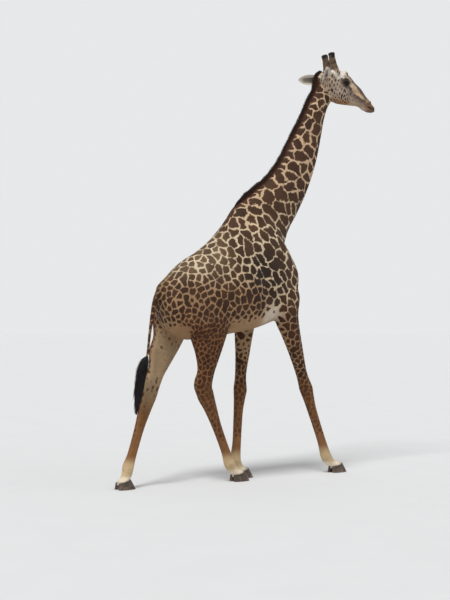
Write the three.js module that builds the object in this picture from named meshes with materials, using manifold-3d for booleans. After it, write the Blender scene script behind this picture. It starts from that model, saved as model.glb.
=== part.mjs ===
// A life-size Masai giraffe bull in mid-stride, as a still museum model: right legs reaching forward, left legs
// trailing, neck carried forward, tail hanging. Millimetres, +Z up; the animal faces +X and its left side is +Y.
// The flesh is one body, lofted from named stations and parted by thin cuts into trunk, neck, head, ears, tail
// and legs. Claws, eyes, ossicones, mane and tail tuft are solids of their own that rest against it.
import * as THREE from "three";
import { mergeVertices } from "three/addons/utils/BufferGeometryUtils.js";
import Module from "manifold-3d";

const wasm = await Module();
wasm.setup();
const { Manifold, Mesh } = wasm;

// ---------------------------------------------------------------- driving dimensions
const GAP = 0.8; // clearance that neighbouring solids keep, measured in the plane of a slice
const CUT = 0.6; // width of the thin cuts that part the flesh
const SIDES = { torso: 22, limb: 14, head: 16, ear: 10, tail: 8 };

// Torso and neck, from the buttock to the throat. Each station is a slanting slice: its point on the back and on
// the belly in the mid-plane as [x, z], its half width, how egg-shaped it is (widest below the middle when
// positive) and how square (2 is an ellipse).
const TORSO = [
  { at: "buttock tip", back: [-1045, 2075], belly: [-1045, 1955], half: 90, egg: 0, square: 2 },
  { at: "pin bones", back: [-1000, 2182], belly: [-1015, 1810], half: 195, egg: 0, square: 2 },
  { at: "rump", back: [-905, 2312], belly: [-920, 1680], half: 272, egg: 0.05, square: 2.1 },
  { at: "hips", back: [-750, 2455], belly: [-720, 1590], half: 318, egg: 0.15, square: 2.2 },
  { at: "loin", back: [-530, 2588], belly: [-480, 1625], half: 335, egg: 0.2, square: 2.1 },
  { at: "last rib", back: [-350, 2728], belly: [-215, 1648], half: 362, egg: 0.24, square: 2.1 },
  { at: "mid chest", back: [-190, 2905], belly: [60, 1675], half: 365, egg: 0.28, square: 2.1 },
  { at: "girth", back: [-105, 3020], belly: [320, 1742], half: 345, egg: 0.3, square: 2.1 },
  { at: "withers", back: [-50, 3085], belly: [575, 1850], half: 318, egg: 0.28, square: 2.1 },
  { at: "breastbone", back: [5, 3128], belly: [755, 2060], half: 290, egg: 0.22, square: 2.1 },
  { at: "point of chest", back: [70, 3172], belly: [734, 2328], half: 240, egg: 0.15, square: 2.1 },
  { at: "neck root", back: [140, 3222], belly: [588, 2522], half: 205, egg: 0.08, square: 2.1 },
  { at: "low neck", back: [230, 3288], belly: [644, 2775], half: 182, egg: 0.04, square: 2.1 },
  { at: "lower third", back: [375, 3400], belly: [802, 3030], half: 156, egg: 0, square: 2.1 },
  { at: "mid neck", back: [562, 3606], belly: [962, 3328], half: 136, egg: 0, square: 2.1 },
  { at: "upper third", back: [735, 3895], belly: [1098, 3688], half: 120, egg: 0, square: 2.1 },
  { at: "high neck", back: [868, 4110], belly: [1158, 3940], half: 111, egg: 0, square: 2.1 },
  { at: "below throat", back: [984, 4326], belly: [1208, 4168], half: 106, egg: 0, square: 2.1 },
  { at: "throat", back: [1080, 4492], belly: [1262, 4310], half: 108, egg: 0, square: 2.1 },
  { at: "in the head", back: [1160, 4616], belly: [1330, 4400], half: 92, egg: 0, square: 2 },
];

// Limbs: where the joints stand in this stride, as [x, y, z].
const STRIDE = {
  leg_front_right: {
    shoulder: [520, -205, 2230],
    elbow: [530, -205, 1835],
    carpus: [832, -160, 992],
    fetlock: [1160, -134, 200],
    hoof: [1305, -128, 0],
  },
  leg_front_left: {
    shoulder: [430, 205, 2230],
    elbow: [235, 205, 1835],
    carpus: [120, 160, 992],
    fetlock: [40, 112, 200],
    hoof: [112, 98, 0],
  },
  leg_hind_right: {
    hip: [-640, -195, 2160],
    stifle: [-430, -215, 1760],
    hock: [-585, -165, 1062],
    fetlock: [-190, -98, 215],
    hoof: [-72, -88, 0],
  },
  leg_hind_left: {
    hip: [-655, 195, 2160],
    stifle: [-700, 215, 1715],
    hock: [-1062, 165, 1066],
    fetlock: [-1382, 88, 222],
    hoof: [-1450, 76, 0],
  },
};

// Limb slices: between which joints, the share of the way, and how far the front, the rear and the side lie from
// the line of the joints.
const FORELEG = [
  { from: "shoulder", to: "elbow", share: 0, front: 130, rear: 170, half: 78 },
  { from: "shoulder", to: "elbow", share: 0.45, front: 165, rear: 215, half: 122 },
  { from: "elbow", to: "carpus", share: 0, front: 140, rear: 165, half: 116 },
  { from: "elbow", to: "carpus", share: 0.22, front: 114, rear: 128, half: 90 },
  { from: "elbow", to: "carpus", share: 0.48, front: 92, rear: 98, half: 72 },
  { from: "elbow", to: "carpus", share: 0.78, front: 70, rear: 76, half: 60 },
  { from: "elbow", to: "carpus", share: 1, front: 88, rear: 76, half: 68 },
  { from: "carpus", to: "fetlock", share: 0.12, front: 76, rear: 70, half: 60 },
  { from: "carpus", to: "fetlock", share: 0.3, front: 58, rear: 66, half: 50 },
  { from: "carpus", to: "fetlock", share: 0.75, front: 52, rear: 62, half: 48 },
  { from: "carpus", to: "fetlock", share: 1, front: 60, rear: 78, half: 60 },
  { from: "fetlock", to: "hoof", share: 0.34, front: 56, rear: 66, half: 58 },
];
const HINDLEG = [
  { from: "hip", to: "stifle", share: 0, front: 240, rear: 310, half: 90 },
  { from: "hip", to: "stifle", share: 0.55, front: 245, rear: 420, half: 128 },
  { from: "stifle", to: "hock", share: 0, front: 150, rear: 400, half: 116 },
  { from: "stifle", to: "hock", share: 0.28, front: 130, rear: 318, half: 98 },
  { from: "stifle", to: "hock", share: 0.5, front: 112, rear: 205, half: 80 },
  { from: "stifle", to: "hock", share: 0.75, front: 92, rear: 128, half: 64 },
  { from: "stifle", to: "hock", share: 0.95, front: 102, rear: 132, half: 66 },
  { from: "hock", to: "fetlock", share: 0.08, front: 102, rear: 110, half: 66 },
  { from: "hock", to: "fetlock", share: 0.24, front: 84, rear: 86, half: 56 },
  { from: "hock", to: "fetlock", share: 0.5, front: 58, rear: 64, half: 49 },
  { from: "hock", to: "fetlock", share: 0.85, front: 53, rear: 61, half: 49 },
  { from: "hock", to: "fetlock", share: 1, front: 60, rear: 78, half: 60 },
  { from: "fetlock", to: "hoof", share: 0.34, front: 56, rear: 66, half: 58 },
];

const BUTTOCK = { x: -1000, least: 205 }; // a thigh slice stops here at its rear, but keeps this reach

// A foot, in its own frame: +X to the toe, ground at 0, origin under the middle of the coronet.
const FOOT = {
  coronet: { front: [66, 100], heel: [-74, 62], half: 68 },
  toe: 124, // from the middle of the coronet to the tip, on the ground
  heel: -82,
  clawHalf: 39, // half width of one claw on the ground
  clawOut: 44, // middle of a claw from the middle of the foot
  lift: 10, // height to which the wall stands straight above the ground
};

// Head, in its own frame: +X forward, +Z up, origin at the middle of the eyes. It turns a little to the right.
const HEAD = { at: [1460, -60, 4610], turn: THREE.MathUtils.degToRad(-10) };
const SKULL = [
  { at: "nape", back: [-340, 62], belly: [-245, -205], half: 86, square: 2.1 },
  { at: "poll", back: [-282, 124], belly: [-178, -228], half: 98, square: 2.2 },
  { at: "crown", back: [-190, 156], belly: [-120, -232], half: 106, square: 2.3 },
  { at: "brow", back: [-90, 158], belly: [-52, -250], half: 112, square: 2.3 },
  { at: "eyes", back: [5, 150], belly: [12, -257], half: 110, square: 2.3 },
  { at: "below the eyes", back: [92, 96], belly: [72, -264], half: 92, square: 2.2 },
  { at: "cheek", back: [168, 22], belly: [124, -266], half: 76, square: 2.2 },
  { at: "nose bridge", back: [242, -34], belly: [178, -266], half: 66, square: 2.2 },
  { at: "nostrils", back: [306, -118], belly: [228, -274], half: 63, square: 2.3 },
  { at: "upper lip", back: [376, -184], belly: [272, -300], half: 57, square: 2.4 },
  { at: "lips", back: [428, -258], belly: [330, -316], half: 48, square: 2.3 },
  { at: "muzzle tip", back: [452, -298], belly: [400, -322], half: 30, square: 2.2 },
];
const EYE = { at: [-10, 97, -14], radius: 29 };
const OSSICONE = { root: [-146, 64, 96], lean: 12, splay: 5, length: 258 };
const EAR = { root: [-288, 80, 44], length: 256, half: 61, thick: 15, cup: 26 };
// How far each ear is turned out from straight back, and up, and the way that its cup faces:
// the left one listens back, the right one to its side.
const EAR_TURN = {
  left: { swept: 52, rise: 4, faces: [-0.69, -0.53, -0.25] },
  right: { swept: 68, rise: 19, faces: [0.45, -0.3, -0.8] },
};
const BROW_HORN = { at: [12, 0, 116], radii: [70, 44, 48] };

// Tail: the middle of the dock from its root to the start of the tuft, then the hanging tuft.
const TAIL = {
  line: [
    [-900, 0, 2250],
    [-1010, 0, 2165],
    [-1088, 0, 2040],
    [-1132, 0, 1890],
    [-1166, 0, 1690],
    [-1203, 0, 1430],
  ],
  radius: [60, 52, 38, 27, 20, 17],
  tuft: [
    { at: [-1206, 0, 1422], radius: 20 },
    { at: [-1232, 0, 1375], radius: 50 },
    { at: [-1272, 0, 1270], radius: 64 },
    { at: [-1300, 0, 1110], radius: 54 },
    { at: [-1322, 0, 950], radius: 42 },
    { at: [-1338, 0, 800], radius: 12 },
  ],
};
const MANE = { from: "withers", to: "throat", height: 58, root: -40, half: 17, crest: 8 };

// ---------------------------------------------------------------- lofting
const lerp = THREE.MathUtils.lerp;
const Y_AXIS = new THREE.Vector3(0, 1, 0);

// The catmull-rom curve through equally numbered stations, so that several of them keep step.
const through = (points) => new THREE.CatmullRomCurve3(points, false, "centripetal");

// One ring of a loft, from its top point round by the left side: a superellipse between two points.
function ring({ top, bottom, half, egg = 0, square = 2, cup = 0 }, sides, grow, side = Y_AXIS) {
  const middle = top.clone().add(bottom).multiplyScalar(0.5);
  const up = top.clone().sub(bottom).multiplyScalar(0.5);
  const upward = up.clone().normalize();
  up.addScaledVector(upward, grow);
  return Array.from({ length: sides }, (_, i) => {
    const turn = (2 * Math.PI * i) / sides;
    const c = Math.sign(Math.cos(turn)) * Math.abs(Math.cos(turn)) ** (2 / square);
    const s = Math.sign(Math.sin(turn)) * Math.abs(Math.sin(turn)) ** (2 / square);
    return middle
      .clone()
      .addScaledVector(up, c)
      .addScaledVector(side, s * (half * (1 - egg * c) + grow))
      .addScaledVector(upward, cup * s * s);
  });
}

// A closed solid over a row of rings, each end closed by a fan and moved out by `grow`.
function loft(rings, grow = 0) {
  const sides = rings[0].length;
  const centre = (points) => points.reduce((sum, p) => sum.add(p), new THREE.Vector3()).divideScalar(sides);
  for (const [end, inner] of [[rings[0], rings[1]], [rings.at(-1), rings.at(-2)]]) {
    const out = centre(end).sub(centre(inner)).setLength(grow);
    for (const point of end) point.add(out);
  }
  const points = [...rings.flat(), centre(rings[0]), centre(rings.at(-1))];
  const last = (rings.length - 1) * sides;
  const index = [];
  for (let r = 0; r < rings.length - 1; r++)
    for (let i = 0; i < sides; i++) {
      const [a, b] = [r * sides + i, r * sides + ((i + 1) % sides)];
      index.push(a, b, a + sides, b, b + sides, a + sides);
    }
  for (let i = 0; i < sides; i++) {
    const next = (i + 1) % sides;
    index.push(next, i, points.length - 2, last + i, last + next, points.length - 1);
  }
  const geometry = new THREE.BufferGeometry().setFromPoints(points);
  geometry.setIndex(index);
  return solid(geometry);
}

// A geometry as a manifold solid, turned inside out first if its faces point in.
function solid(geometry) {
  const bare = geometry.clone();
  bare.deleteAttribute("normal");
  bare.deleteAttribute("uv");
  const merged = mergeVertices(bare, 1e-3);
  const vertProperties = new Float32Array(merged.attributes.position.array);
  const triVerts = new Uint32Array(merged.index.array);
  const made = new Manifold(new Mesh({ numProp: 3, vertProperties, triVerts }));
  if (made.volume() > 0) return made;
  for (let i = 0; i < triVerts.length; i += 3) [triVerts[i + 1], triVerts[i + 2]] = [triVerts[i + 2], triVerts[i + 1]];
  return new Manifold(new Mesh({ numProp: 3, vertProperties, triVerts }));
}

const flat = ([x, z], y = 0) => new THREE.Vector3(x, y, z);
const join = (solids) => solids.reduce((sum, s) => sum.add(s));

// Rings through slanting stations in the mid-plane, with `steps` rings from one station to the next.
function midPlaneRings(stations, sides, steps, grow) {
  const tops = through(stations.map((s) => flat(s.back)));
  const bottoms = through(stations.map((s) => flat(s.belly)));
  const shapes = through(stations.map((s) => new THREE.Vector3(s.half, s.egg ?? 0, s.square)));
  const count = (stations.length - 1) * steps;
  return Array.from({ length: count + 1 }, (_, i) => {
    const [top, bottom, shape] = [tops, bottoms, shapes].map((curve) => curve.getPoint(i / count));
    return ring({ top, bottom, half: shape.x, egg: shape.y, square: shape.z }, sides, grow);
  });
}

// ---------------------------------------------------------------- flesh
const torso = (grow) => loft(midPlaneRings(TORSO, SIDES.torso, 2, grow), grow);

// A leg down to its coronet. Each slice stands square to the line of the joints, and at a joint halfway between.
function leg(joints, slices, grow) {
  const place = (name) => new THREE.Vector3(...joints[name]);
  const names = Object.keys(joints);
  const heading = (from, to) => place(to).sub(place(from)).setY(0).normalize();
  const stations = slices.map(({ from, to, share, front, rear, half }) => {
    const line = heading(from, to);
    const before = names[names.indexOf(from) - 1];
    const after = names[names.indexOf(to) + 1];
    if (share === 0 && before) line.add(heading(before, from)).normalize();
    if (share === 1 && after) line.add(heading(to, after)).normalize();
    const ahead = new THREE.Vector3(-line.z, 0, line.x);
    const middle = place(from).lerp(place(to), share);
    const reach = Math.min(rear, Math.max((middle.x - BUTTOCK.x) / ahead.x, BUTTOCK.least));
    return {
      top: middle.clone().addScaledVector(ahead, front),
      bottom: middle.clone().addScaledVector(ahead, -reach),
      half,
    };
  });
  const { front, heel, half } = FOOT.coronet;
  const [x, y] = joints.hoof;
  stations.push({ top: new THREE.Vector3(x + front[0], y, front[1]), bottom: new THREE.Vector3(x + heel[0], y, heel[1]), half });
  const curves = [
    through(stations.map((s) => s.top)),
    through(stations.map((s) => s.bottom)),
    through(stations.map((s) => new THREE.Vector3(s.half, 0, 0))),
  ];
  const count = (stations.length - 1) * 2;
  return loft(
    Array.from({ length: count + 1 }, (_, i) => {
      const [top, bottom, width] = curves.map((curve) => curve.getPoint(i / count));
      return ring({ top, bottom, half: width.x, square: 2.2 }, SIDES.limb, grow);
    }),
    grow,
  );
}

const headFrame = new THREE.Matrix4().makeRotationZ(HEAD.turn).setPosition(...HEAD.at);
const inHeadFrame = (made) => made.transform(headFrame.toArray());

function ball(at, radii, detail = 12) {
  const geometry = new THREE.SphereGeometry(1, detail, detail / 2);
  geometry.scale(...radii).translate(...at);
  return solid(geometry);
}

function skull(grow) {
  const shape = loft(midPlaneRings(SKULL, SIDES.head, 2, grow), grow);
  const horn = ball(BROW_HORN.at, BROW_HORN.radii.map((r) => r + grow));
  return inHeadFrame(shape.add(horn));
}

const earTurn = (side) => (side > 0 ? EAR_TURN.left : EAR_TURN.right);

// The way that an ear points, in the head's frame (1 left, -1 right).
function earHeading(side) {
  const [swept, rise] = [earTurn(side).swept, earTurn(side).rise].map(THREE.MathUtils.degToRad);
  return new THREE.Vector3(-Math.cos(swept), side * Math.sin(swept), Math.sin(rise)).normalize();
}

// A leaf-shaped, cupped ear that points out and back from the side of the head.
function ear(side, grow) {
  const out = earHeading(side);
  const open = new THREE.Vector3(...earTurn(side).faces);
  open.addScaledVector(out, -open.dot(out)).normalize(); // the way that the cup faces
  const across = out.clone().cross(open);
  const [x, y, z] = EAR.root;
  const root = new THREE.Vector3(x, side * y, z);
  const rings = [0, 0.12, 0.3, 0.5, 0.7, 0.86, 0.96].map((share) => {
    const wide = EAR.half * Math.sin(Math.PI * Math.min(1, 0.24 + 0.76 * share)) ** 0.75 + 4;
    const thick = EAR.thick * lerp(1.6, 0.5, share);
    const middle = root.clone().addScaledVector(out, share * EAR.length);
    const top = middle.clone().addScaledVector(open, thick / 2);
    const bottom = middle.clone().addScaledVector(open, -thick / 2);
    return ring({ top, bottom, half: wide, cup: EAR.cup * (wide / EAR.half) }, SIDES.ear, grow, across);
  });
  return inHeadFrame(loft(rings, grow));
}

// A tapering round rod through the given points, its rings square to the line.
function rod(points, radii, sides, grow) {
  const curve = through(points.map((p) => new THREE.Vector3(...p)));
  const sizes = through(radii.map((r) => new THREE.Vector3(r, 0, 0)));
  const count = (points.length - 1) * 2;
  return loft(
    Array.from({ length: count + 1 }, (_, i) => {
      const middle = curve.getPoint(i / count);
      const line = curve.getTangent(i / count);
      const ahead = line.clone().cross(Y_AXIS).normalize();
      const radius = sizes.getPoint(i / count).x;
      const top = middle.clone().addScaledVector(ahead, radius);
      const bottom = middle.clone().addScaledVector(ahead, -radius);
      return ring({ top, bottom, half: radius }, sides, grow);
    }),
    grow,
  );
}

const dock = (grow) => rod(TAIL.line, TAIL.radius, SIDES.tail, grow);
const SLICES = (name) => (name.includes("front") ? FORELEG : HINDLEG);

// The whole flesh as one body. `grow` moves its surface out, which gives neighbours their clearance.
const flesh = (grow) =>
  join([
    torso(grow),
    ...Object.entries(STRIDE).map(([name, joints]) => leg(joints, SLICES(name), grow)),
    skull(grow),
    ear(1, grow),
    ear(-1, grow),
    dock(grow),
  ]);

// ---------------------------------------------------------------- parting the flesh
// A thin slab: its middle, the way it faces, and its length along the body and width across it.
function slab(middle, facing, length, width, across = Y_AXIS) {
  const normal = new THREE.Vector3(...facing).normalize();
  const side = across.clone().addScaledVector(normal, -across.dot(normal)).normalize();
  const along = side.clone().cross(normal);
  const geometry = new THREE.BoxGeometry(length, width, CUT);
  geometry.applyMatrix4(new THREE.Matrix4().makeBasis(along, side, normal).setPosition(...middle));
  return solid(geometry);
}

// The cut under the belly for a leg: from the mid-plane, at height z, outwards and gently up.
function legCut(x, z, length, side) {
  const [width, slope] = [480, 0.3];
  return slab([x, (side * width) / 2, z + (slope * width) / 2], [0, -side * slope, 1], length, width * 1.08);
}

const cuts = [
  legCut(540, 1690, 700, -1),
  legCut(240, 1645, 640, 1),
  legCut(-560, 1555, 1000, -1),
  legCut(-860, 1555, 1000, 1),
  slab([378, 0, 2948], [0.52, 0, 0.85], 1000, 760), // neck from trunk
  slab([1158, 0, 4430], [0.6, -0.02, 0.8], 420, 420), // head from neck
  slab([-1100, 0, 2000], [-0.3, 0, -0.95], 130, 150), // tail from trunk
  ...[1, -1].map((side) => {
    const [x, y, z] = EAR.root;
    const root = new THREE.Vector3(x, side * y, z).addScaledVector(earHeading(side), 42).applyMatrix4(headFrame);
    const facing = earHeading(side).transformDirection(headFrame);
    return slab(root.toArray(), facing.toArray(), 190, 150);
  }),
];

const inHead = (x, y, z) => new THREE.Vector3(x, y, z).applyMatrix4(headFrame).toArray();
const midway = (a, b) => a.map((v, i) => (v + b[i]) / 2);
const earProbe = (side) => {
  const [x, y, z] = EAR.root;
  return new THREE.Vector3(x, side * y, z).addScaledVector(earHeading(side), 0.5 * EAR.length).applyMatrix4(headFrame).toArray();
};

// A point inside each piece of flesh, by which the cut pieces get their names.
const PROBES = {
  trunk: [-300, 0, 2200],
  neck: [750, 0, 3620],
  head: inHead(60, 0, -120),
  ear_left: earProbe(1),
  ear_right: earProbe(-1),
  tail: [-1170, 0, 1720],
  ...Object.fromEntries(
    Object.entries(STRIDE).map(([name, j]) => [name, midway(j.carpus ?? j.hock, j.fetlock)]),
  ),
};

const eyeBall = (side, grow = 0) => {
  const [x, y, z] = EYE.at;
  return inHeadFrame(ball([x, side * y, z], Array(3).fill(EYE.radius + grow), 12));
};

const whole = [eyeBall(1, GAP), eyeBall(-1, GAP), ...cuts].reduce((body, cut) => body.subtract(cut), flesh(0));
const pieces = whole.decompose().filter((piece) => piece.volume() > 1000);

function fleshPiece(name) {
  const probe = ball(PROBES[name], [6, 6, 6], 6);
  const found = pieces.filter((piece) => piece.intersect(probe).volume() > 0);
  if (found.length !== 1) throw new Error(`${name}: ${found.length} pieces hold its probe`);
  return found[0];
}

// ---------------------------------------------------------------- claws, ossicones, mane and tuft
// One claw of a foot: rings from the flat sole up to the slanting coronet. side: 1 left, -1 right.
function claw([x, y], side) {
  const { coronet, toe, heel, clawHalf, clawOut, lift } = FOOT;
  const levels = [0, lift, 0.5, 1];
  const rings = levels.map((level) => {
    const share = level === lift ? 0.03 : level;
    const front = lerp(toe, coronet.front[0], share);
    const rear = lerp(heel, coronet.heel[0], share);
    const [middle, long] = [(front + rear) / 2, (front - rear) / 2];
    const half = lerp(clawHalf, coronet.half / 2 - 1, share);
    const out = lerp(clawOut, coronet.half / 2 + 2, share);
    return Array.from({ length: 12 }, (_, i) => {
      const turn = (2 * Math.PI * i) / 12;
      const c = Math.sign(Math.cos(turn)) * Math.abs(Math.cos(turn)) ** 0.8;
      const s = Math.sign(Math.sin(turn)) * Math.abs(Math.sin(turn)) ** 0.8;
      const ahead = middle + long * c;
      const toeIn = 1 - 0.3 * Math.max(0, c) ** 2; // the outer wall curves in towards the toe
      const across = out + half * s * (s > 0 ? toeIn : 1) - half * (1 - toeIn) * 0.5;
      const slope = (coronet.front[1] - coronet.heel[1]) / (coronet.front[0] - coronet.heel[0]);
      const top = coronet.heel[1] + slope * (ahead - coronet.heel[0]) - GAP;
      const height = level === lift ? lift : level * top;
      return new THREE.Vector3(x + ahead, y + side * Math.max(across, 4), height);
    });
  });
  return loft(rings);
}

// A blunt, knobbed horn, as a lathe about its own axis.
function ossicone(side, skin) {
  const { root, lean, splay, length } = OSSICONE;
  const profile = [
    [0, 0],
    [72, 0],
    [61, 0.2],
    [48, 0.42],
    [40, 0.66],
    [37, 0.82],
    [40, 0.9],
    [34, 0.965],
    [19, 0.995],
    [0, 1],
  ].map(([radius, share]) => new THREE.Vector2(radius, share * length));
  const geometry = new THREE.LatheGeometry(profile, 12);
  geometry.rotateX(Math.PI / 2);
  geometry.rotateX(THREE.MathUtils.degToRad(-side * splay));
  geometry.rotateY(THREE.MathUtils.degToRad(-lean));
  geometry.translate(root[0], side * root[1], root[2]);
  const horn = inHeadFrame(solid(geometry)).subtract(skin);
  return biggest(horn);
}

const biggest = (made) => made.decompose().reduce((a, b) => (a.volume() > b.volume() ? a : b));

// The upright mane along the crest of the neck, from the withers to the poll between the ears.
function mane(skin) {
  const { from, to, height, root, half, crest } = MANE;
  const names = TORSO.map((s) => s.at);
  const onNeck = TORSO.slice(names.indexOf(from), names.indexOf(to) + 1).map((s) => flat(s.back));
  const onHead = SKULL.slice(0, 2).map((s) => flat(s.back).applyMatrix4(headFrame));
  const backs = through([...onNeck, ...onHead]);
  const count = 18;
  const rings = Array.from({ length: count + 1 }, (_, i) => {
    const share = i / count;
    const middle = backs.getPoint(share);
    const line = backs.getTangent(share);
    const up = new THREE.Vector3(-line.z, 0, line.x);
    const rise = height * Math.min(1, 0.25 + 3.2 * share, 0.45 + 5 * (1 - share)); // it dies out at the withers
    const corner = (wide, high) => middle.clone().addScaledVector(Y_AXIS, wide).addScaledVector(up, high);
    return [
      corner(0, rise),
      corner(crest, rise - 4),
      corner(half, 0.4 * rise),
      corner(half, root),
      corner(-half, root),
      corner(-half, 0.4 * rise),
      corner(-crest, rise - 4),
    ];
  });
  return biggest(loft(rings).subtract(skin));
}

const tuft = (skin) =>
  biggest(
    rod(
      TAIL.tuft.map((p) => p.at),
      TAIL.tuft.map((p) => p.radius),
      10,
      0,
    ).subtract(skin),
  );

// ---------------------------------------------------------------- the model
const FINISH = {
  coat: { color: "#b98f62", roughness: 0.8 },
  dark_hair: { color: "#1b1614", roughness: 0.85 },
  mane_hair: { color: "#4a2c1c", roughness: 0.85 },
  claw: { color: "#3b332d", roughness: 0.6 },
  eye: { color: "#0d0a08", roughness: 0.1 },
  horn: { color: "#5a4a38", roughness: 0.8 },
};
const materials = Object.fromEntries(
  Object.entries(FINISH).map(([name, look]) => [name, new THREE.MeshStandardMaterial({ ...look, metalness: 0 })]),
);

const giraffe = new THREE.Group();
giraffe.name = "giraffe";

function addNode(name, made, finish) {
  const { vertProperties, triVerts } = made.getMesh();
  const geometry = new THREE.BufferGeometry();
  geometry.setAttribute("position", new THREE.BufferAttribute(new Float32Array(vertProperties), 3));
  geometry.setIndex(new THREE.BufferAttribute(new Uint32Array(triVerts), 1));
  const mesh = new THREE.Mesh(geometry, materials[finish]);
  mesh.name = name;
  giraffe.add(mesh);
}

for (const name of Object.keys(PROBES)) addNode(name, fleshPiece(name), "coat");
const clearance = flesh(GAP);
for (const [leg_, joints] of Object.entries(STRIDE))
  for (const [side, label] of [[1, "left"], [-1, "right"]])
    addNode(`${leg_.replace("leg", "claw")}_${label}`, claw(joints.hoof, side), "claw");
for (const [side, label] of [[1, "left"], [-1, "right"]]) {
  addNode(`eye_${label}`, eyeBall(side), "eye");
  addNode(`ossicone_${label}`, ossicone(side, clearance), "horn");
}
addNode("mane", mane(clearance), "mane_hair");
addNode("tail_tuft", tuft(clearance), "dark_hair");

// The origin lies on the ground, under the middle of the whole animal.
const box = new THREE.Box3().setFromObject(giraffe);
const centre = box.getCenter(new THREE.Vector3());
giraffe.position.set(-centre.x, -centre.y, -box.min.z);

export default giraffe;
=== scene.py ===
"""A life-size Masai giraffe bull in mid-stride, dressed as a still museum model.

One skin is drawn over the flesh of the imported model, a coat depth inside it, and is marked with dark patches
on a tan net. Eyes with lids and lashes, ears, ossicones, hooves, mane, tail tuft and short coat are pieces of
their own over it. Sizes are in metres in the body's frame: +X forward, +Y to the left, +Z up.
"""

import logging
import math
from collections.abc import Callable
from dataclasses import dataclass, field
from enum import Enum, IntEnum

import bpy
import numpy as np
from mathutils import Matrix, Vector
from mathutils.kdtree import KDTree


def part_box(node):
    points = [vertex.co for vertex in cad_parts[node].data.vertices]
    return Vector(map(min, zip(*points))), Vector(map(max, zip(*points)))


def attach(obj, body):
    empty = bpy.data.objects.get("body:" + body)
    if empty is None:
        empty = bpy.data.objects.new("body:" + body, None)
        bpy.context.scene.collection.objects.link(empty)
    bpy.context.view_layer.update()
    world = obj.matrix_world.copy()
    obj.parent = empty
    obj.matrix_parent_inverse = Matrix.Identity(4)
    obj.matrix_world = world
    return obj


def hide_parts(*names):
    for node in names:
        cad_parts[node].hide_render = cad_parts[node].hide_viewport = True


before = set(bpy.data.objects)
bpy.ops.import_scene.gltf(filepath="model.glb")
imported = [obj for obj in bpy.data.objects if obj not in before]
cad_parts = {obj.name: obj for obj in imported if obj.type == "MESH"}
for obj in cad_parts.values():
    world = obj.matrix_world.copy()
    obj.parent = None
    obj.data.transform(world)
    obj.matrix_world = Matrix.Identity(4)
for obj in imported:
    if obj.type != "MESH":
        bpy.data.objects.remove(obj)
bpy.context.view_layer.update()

logging.basicConfig(level=logging.INFO, format="%(message)s")
log = logging.getLogger("giraffe")

Array = np.ndarray
Socket = bpy.types.NodeSocket
Material = bpy.types.Material
Piece = bpy.types.Object
Point = Colour = tuple[float, float, float]
Pair = tuple[float, float]
X_AXIS, Y_AXIS, Z_AXIS = np.eye(3)
ROUND = 2 * math.pi
MARKS = ("ground", "patch", "inside", "face")  # what skin and coat carry


class Side(IntEnum):
    """The sides of the body, by the sign of Y."""

    LEFT = 1
    RIGHT = -1

    @property
    def word(self) -> str:
        """Return the side's name."""
        return self.name.lower()


# ---- small helpers
def smooth(low: float, high: float, value: Array) -> Array:
    """Return a share that rises softly from 0 at `low` to 1 at `high`, or falls if `high` is the smaller."""
    share = np.clip((value - low) / (high - low), 0.0, 1.0)
    return share * share * (3.0 - 2.0 * share)


def unit(vectors: Array) -> Array:
    """Return the vectors at length 1."""
    return vectors / np.maximum(np.linalg.norm(vectors, axis=-1, keepdims=True), 1e-9)


def turns(count: int) -> Array:
    """Return even turns once round, without the last."""
    return np.linspace(0, ROUND, count, endpoint=False)


def linear(colour: Colour) -> Array:
    """Turn a display colour of 0 to 255 into linear light."""
    share = np.array(colour, float) / 255.0
    return np.where(share <= 0.04045, share / 12.92, ((share + 0.055) / 1.055) ** 2.4)


def tint(base: Array, colour: Colour, weight: Array) -> Array:
    """Blend a display colour over rows of linear colours, each point by its own weight."""
    return base + (linear(colour) - base) * np.clip(weight, 0.0, 1.0)[:, None]


def through(points: Array, count: int) -> Array:
    """Sample the smooth curve through equally numbered stations.

    Args:
        points: The stations, of any width.
        count: How many samples, evenly by station.

    Returns:
        The samples.
    """
    known = np.asarray(points, float)
    row = np.vstack([2 * known[0] - known[1], known, 2 * known[-1] - known[-2]])
    place = np.linspace(0.0, len(known) - 1.0, count)
    first = np.minimum(place.astype(int), len(known) - 2)
    share = (place - first)[:, None]
    before, start, end, after = (row[first + k] for k in range(4))

    def step(a: Array, b: Array) -> Array:
        """Return the centripetal step between two stations."""
        return np.sqrt(np.maximum(np.linalg.norm(b - a, axis=1), 1e-9))[:, None]

    d0, d1, d2 = step(before, start), step(start, end), step(end, after)
    leave = ((start - before) / d0 - (end - before) / (d0 + d1) + (end - start) / d1) * d1
    arrive = ((end - start) / d1 - (after - start) / (d1 + d2) + (after - end) / d2) * d1
    square = -3 * start + 3 * end - 2 * leave - arrive
    cube = 2 * start - 2 * end + leave + arrive
    return start + share * (leave + share * (square + share * cube))


class Ripple:
    """A smooth, repeatable unevenness in space: a sum of waves in many directions."""

    def __init__(self, length: float, seed: int, waves: int = 14) -> None:
        """Draw the waves.

        Args:
            length: About how far apart its swells are.
            seed: Which of the possible ripples.
            waves: How many waves are summed.
        """
        rng = np.random.default_rng(seed)
        ways = unit(rng.normal(size=(waves, 3)))
        self.ways = ways * (ROUND / length) * rng.uniform(0.6, 1.3, (waves, 1))
        self.starts = rng.uniform(0, ROUND, waves)

    def __call__(self, points: Array) -> Array:
        """Return the ripple at each point, mostly between -1 and 1."""
        return np.sin(points @ self.ways.T + self.starts).sum(axis=1) * (1.5 / len(self.starts) ** 0.5 / 1.4)


def shaken(points: Array, length: float, seed: int) -> Array:
    """Return a ripple along each axis at each point."""
    return np.stack([Ripple(length, seed + k)(points) for k in range(3)], -1)


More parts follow.
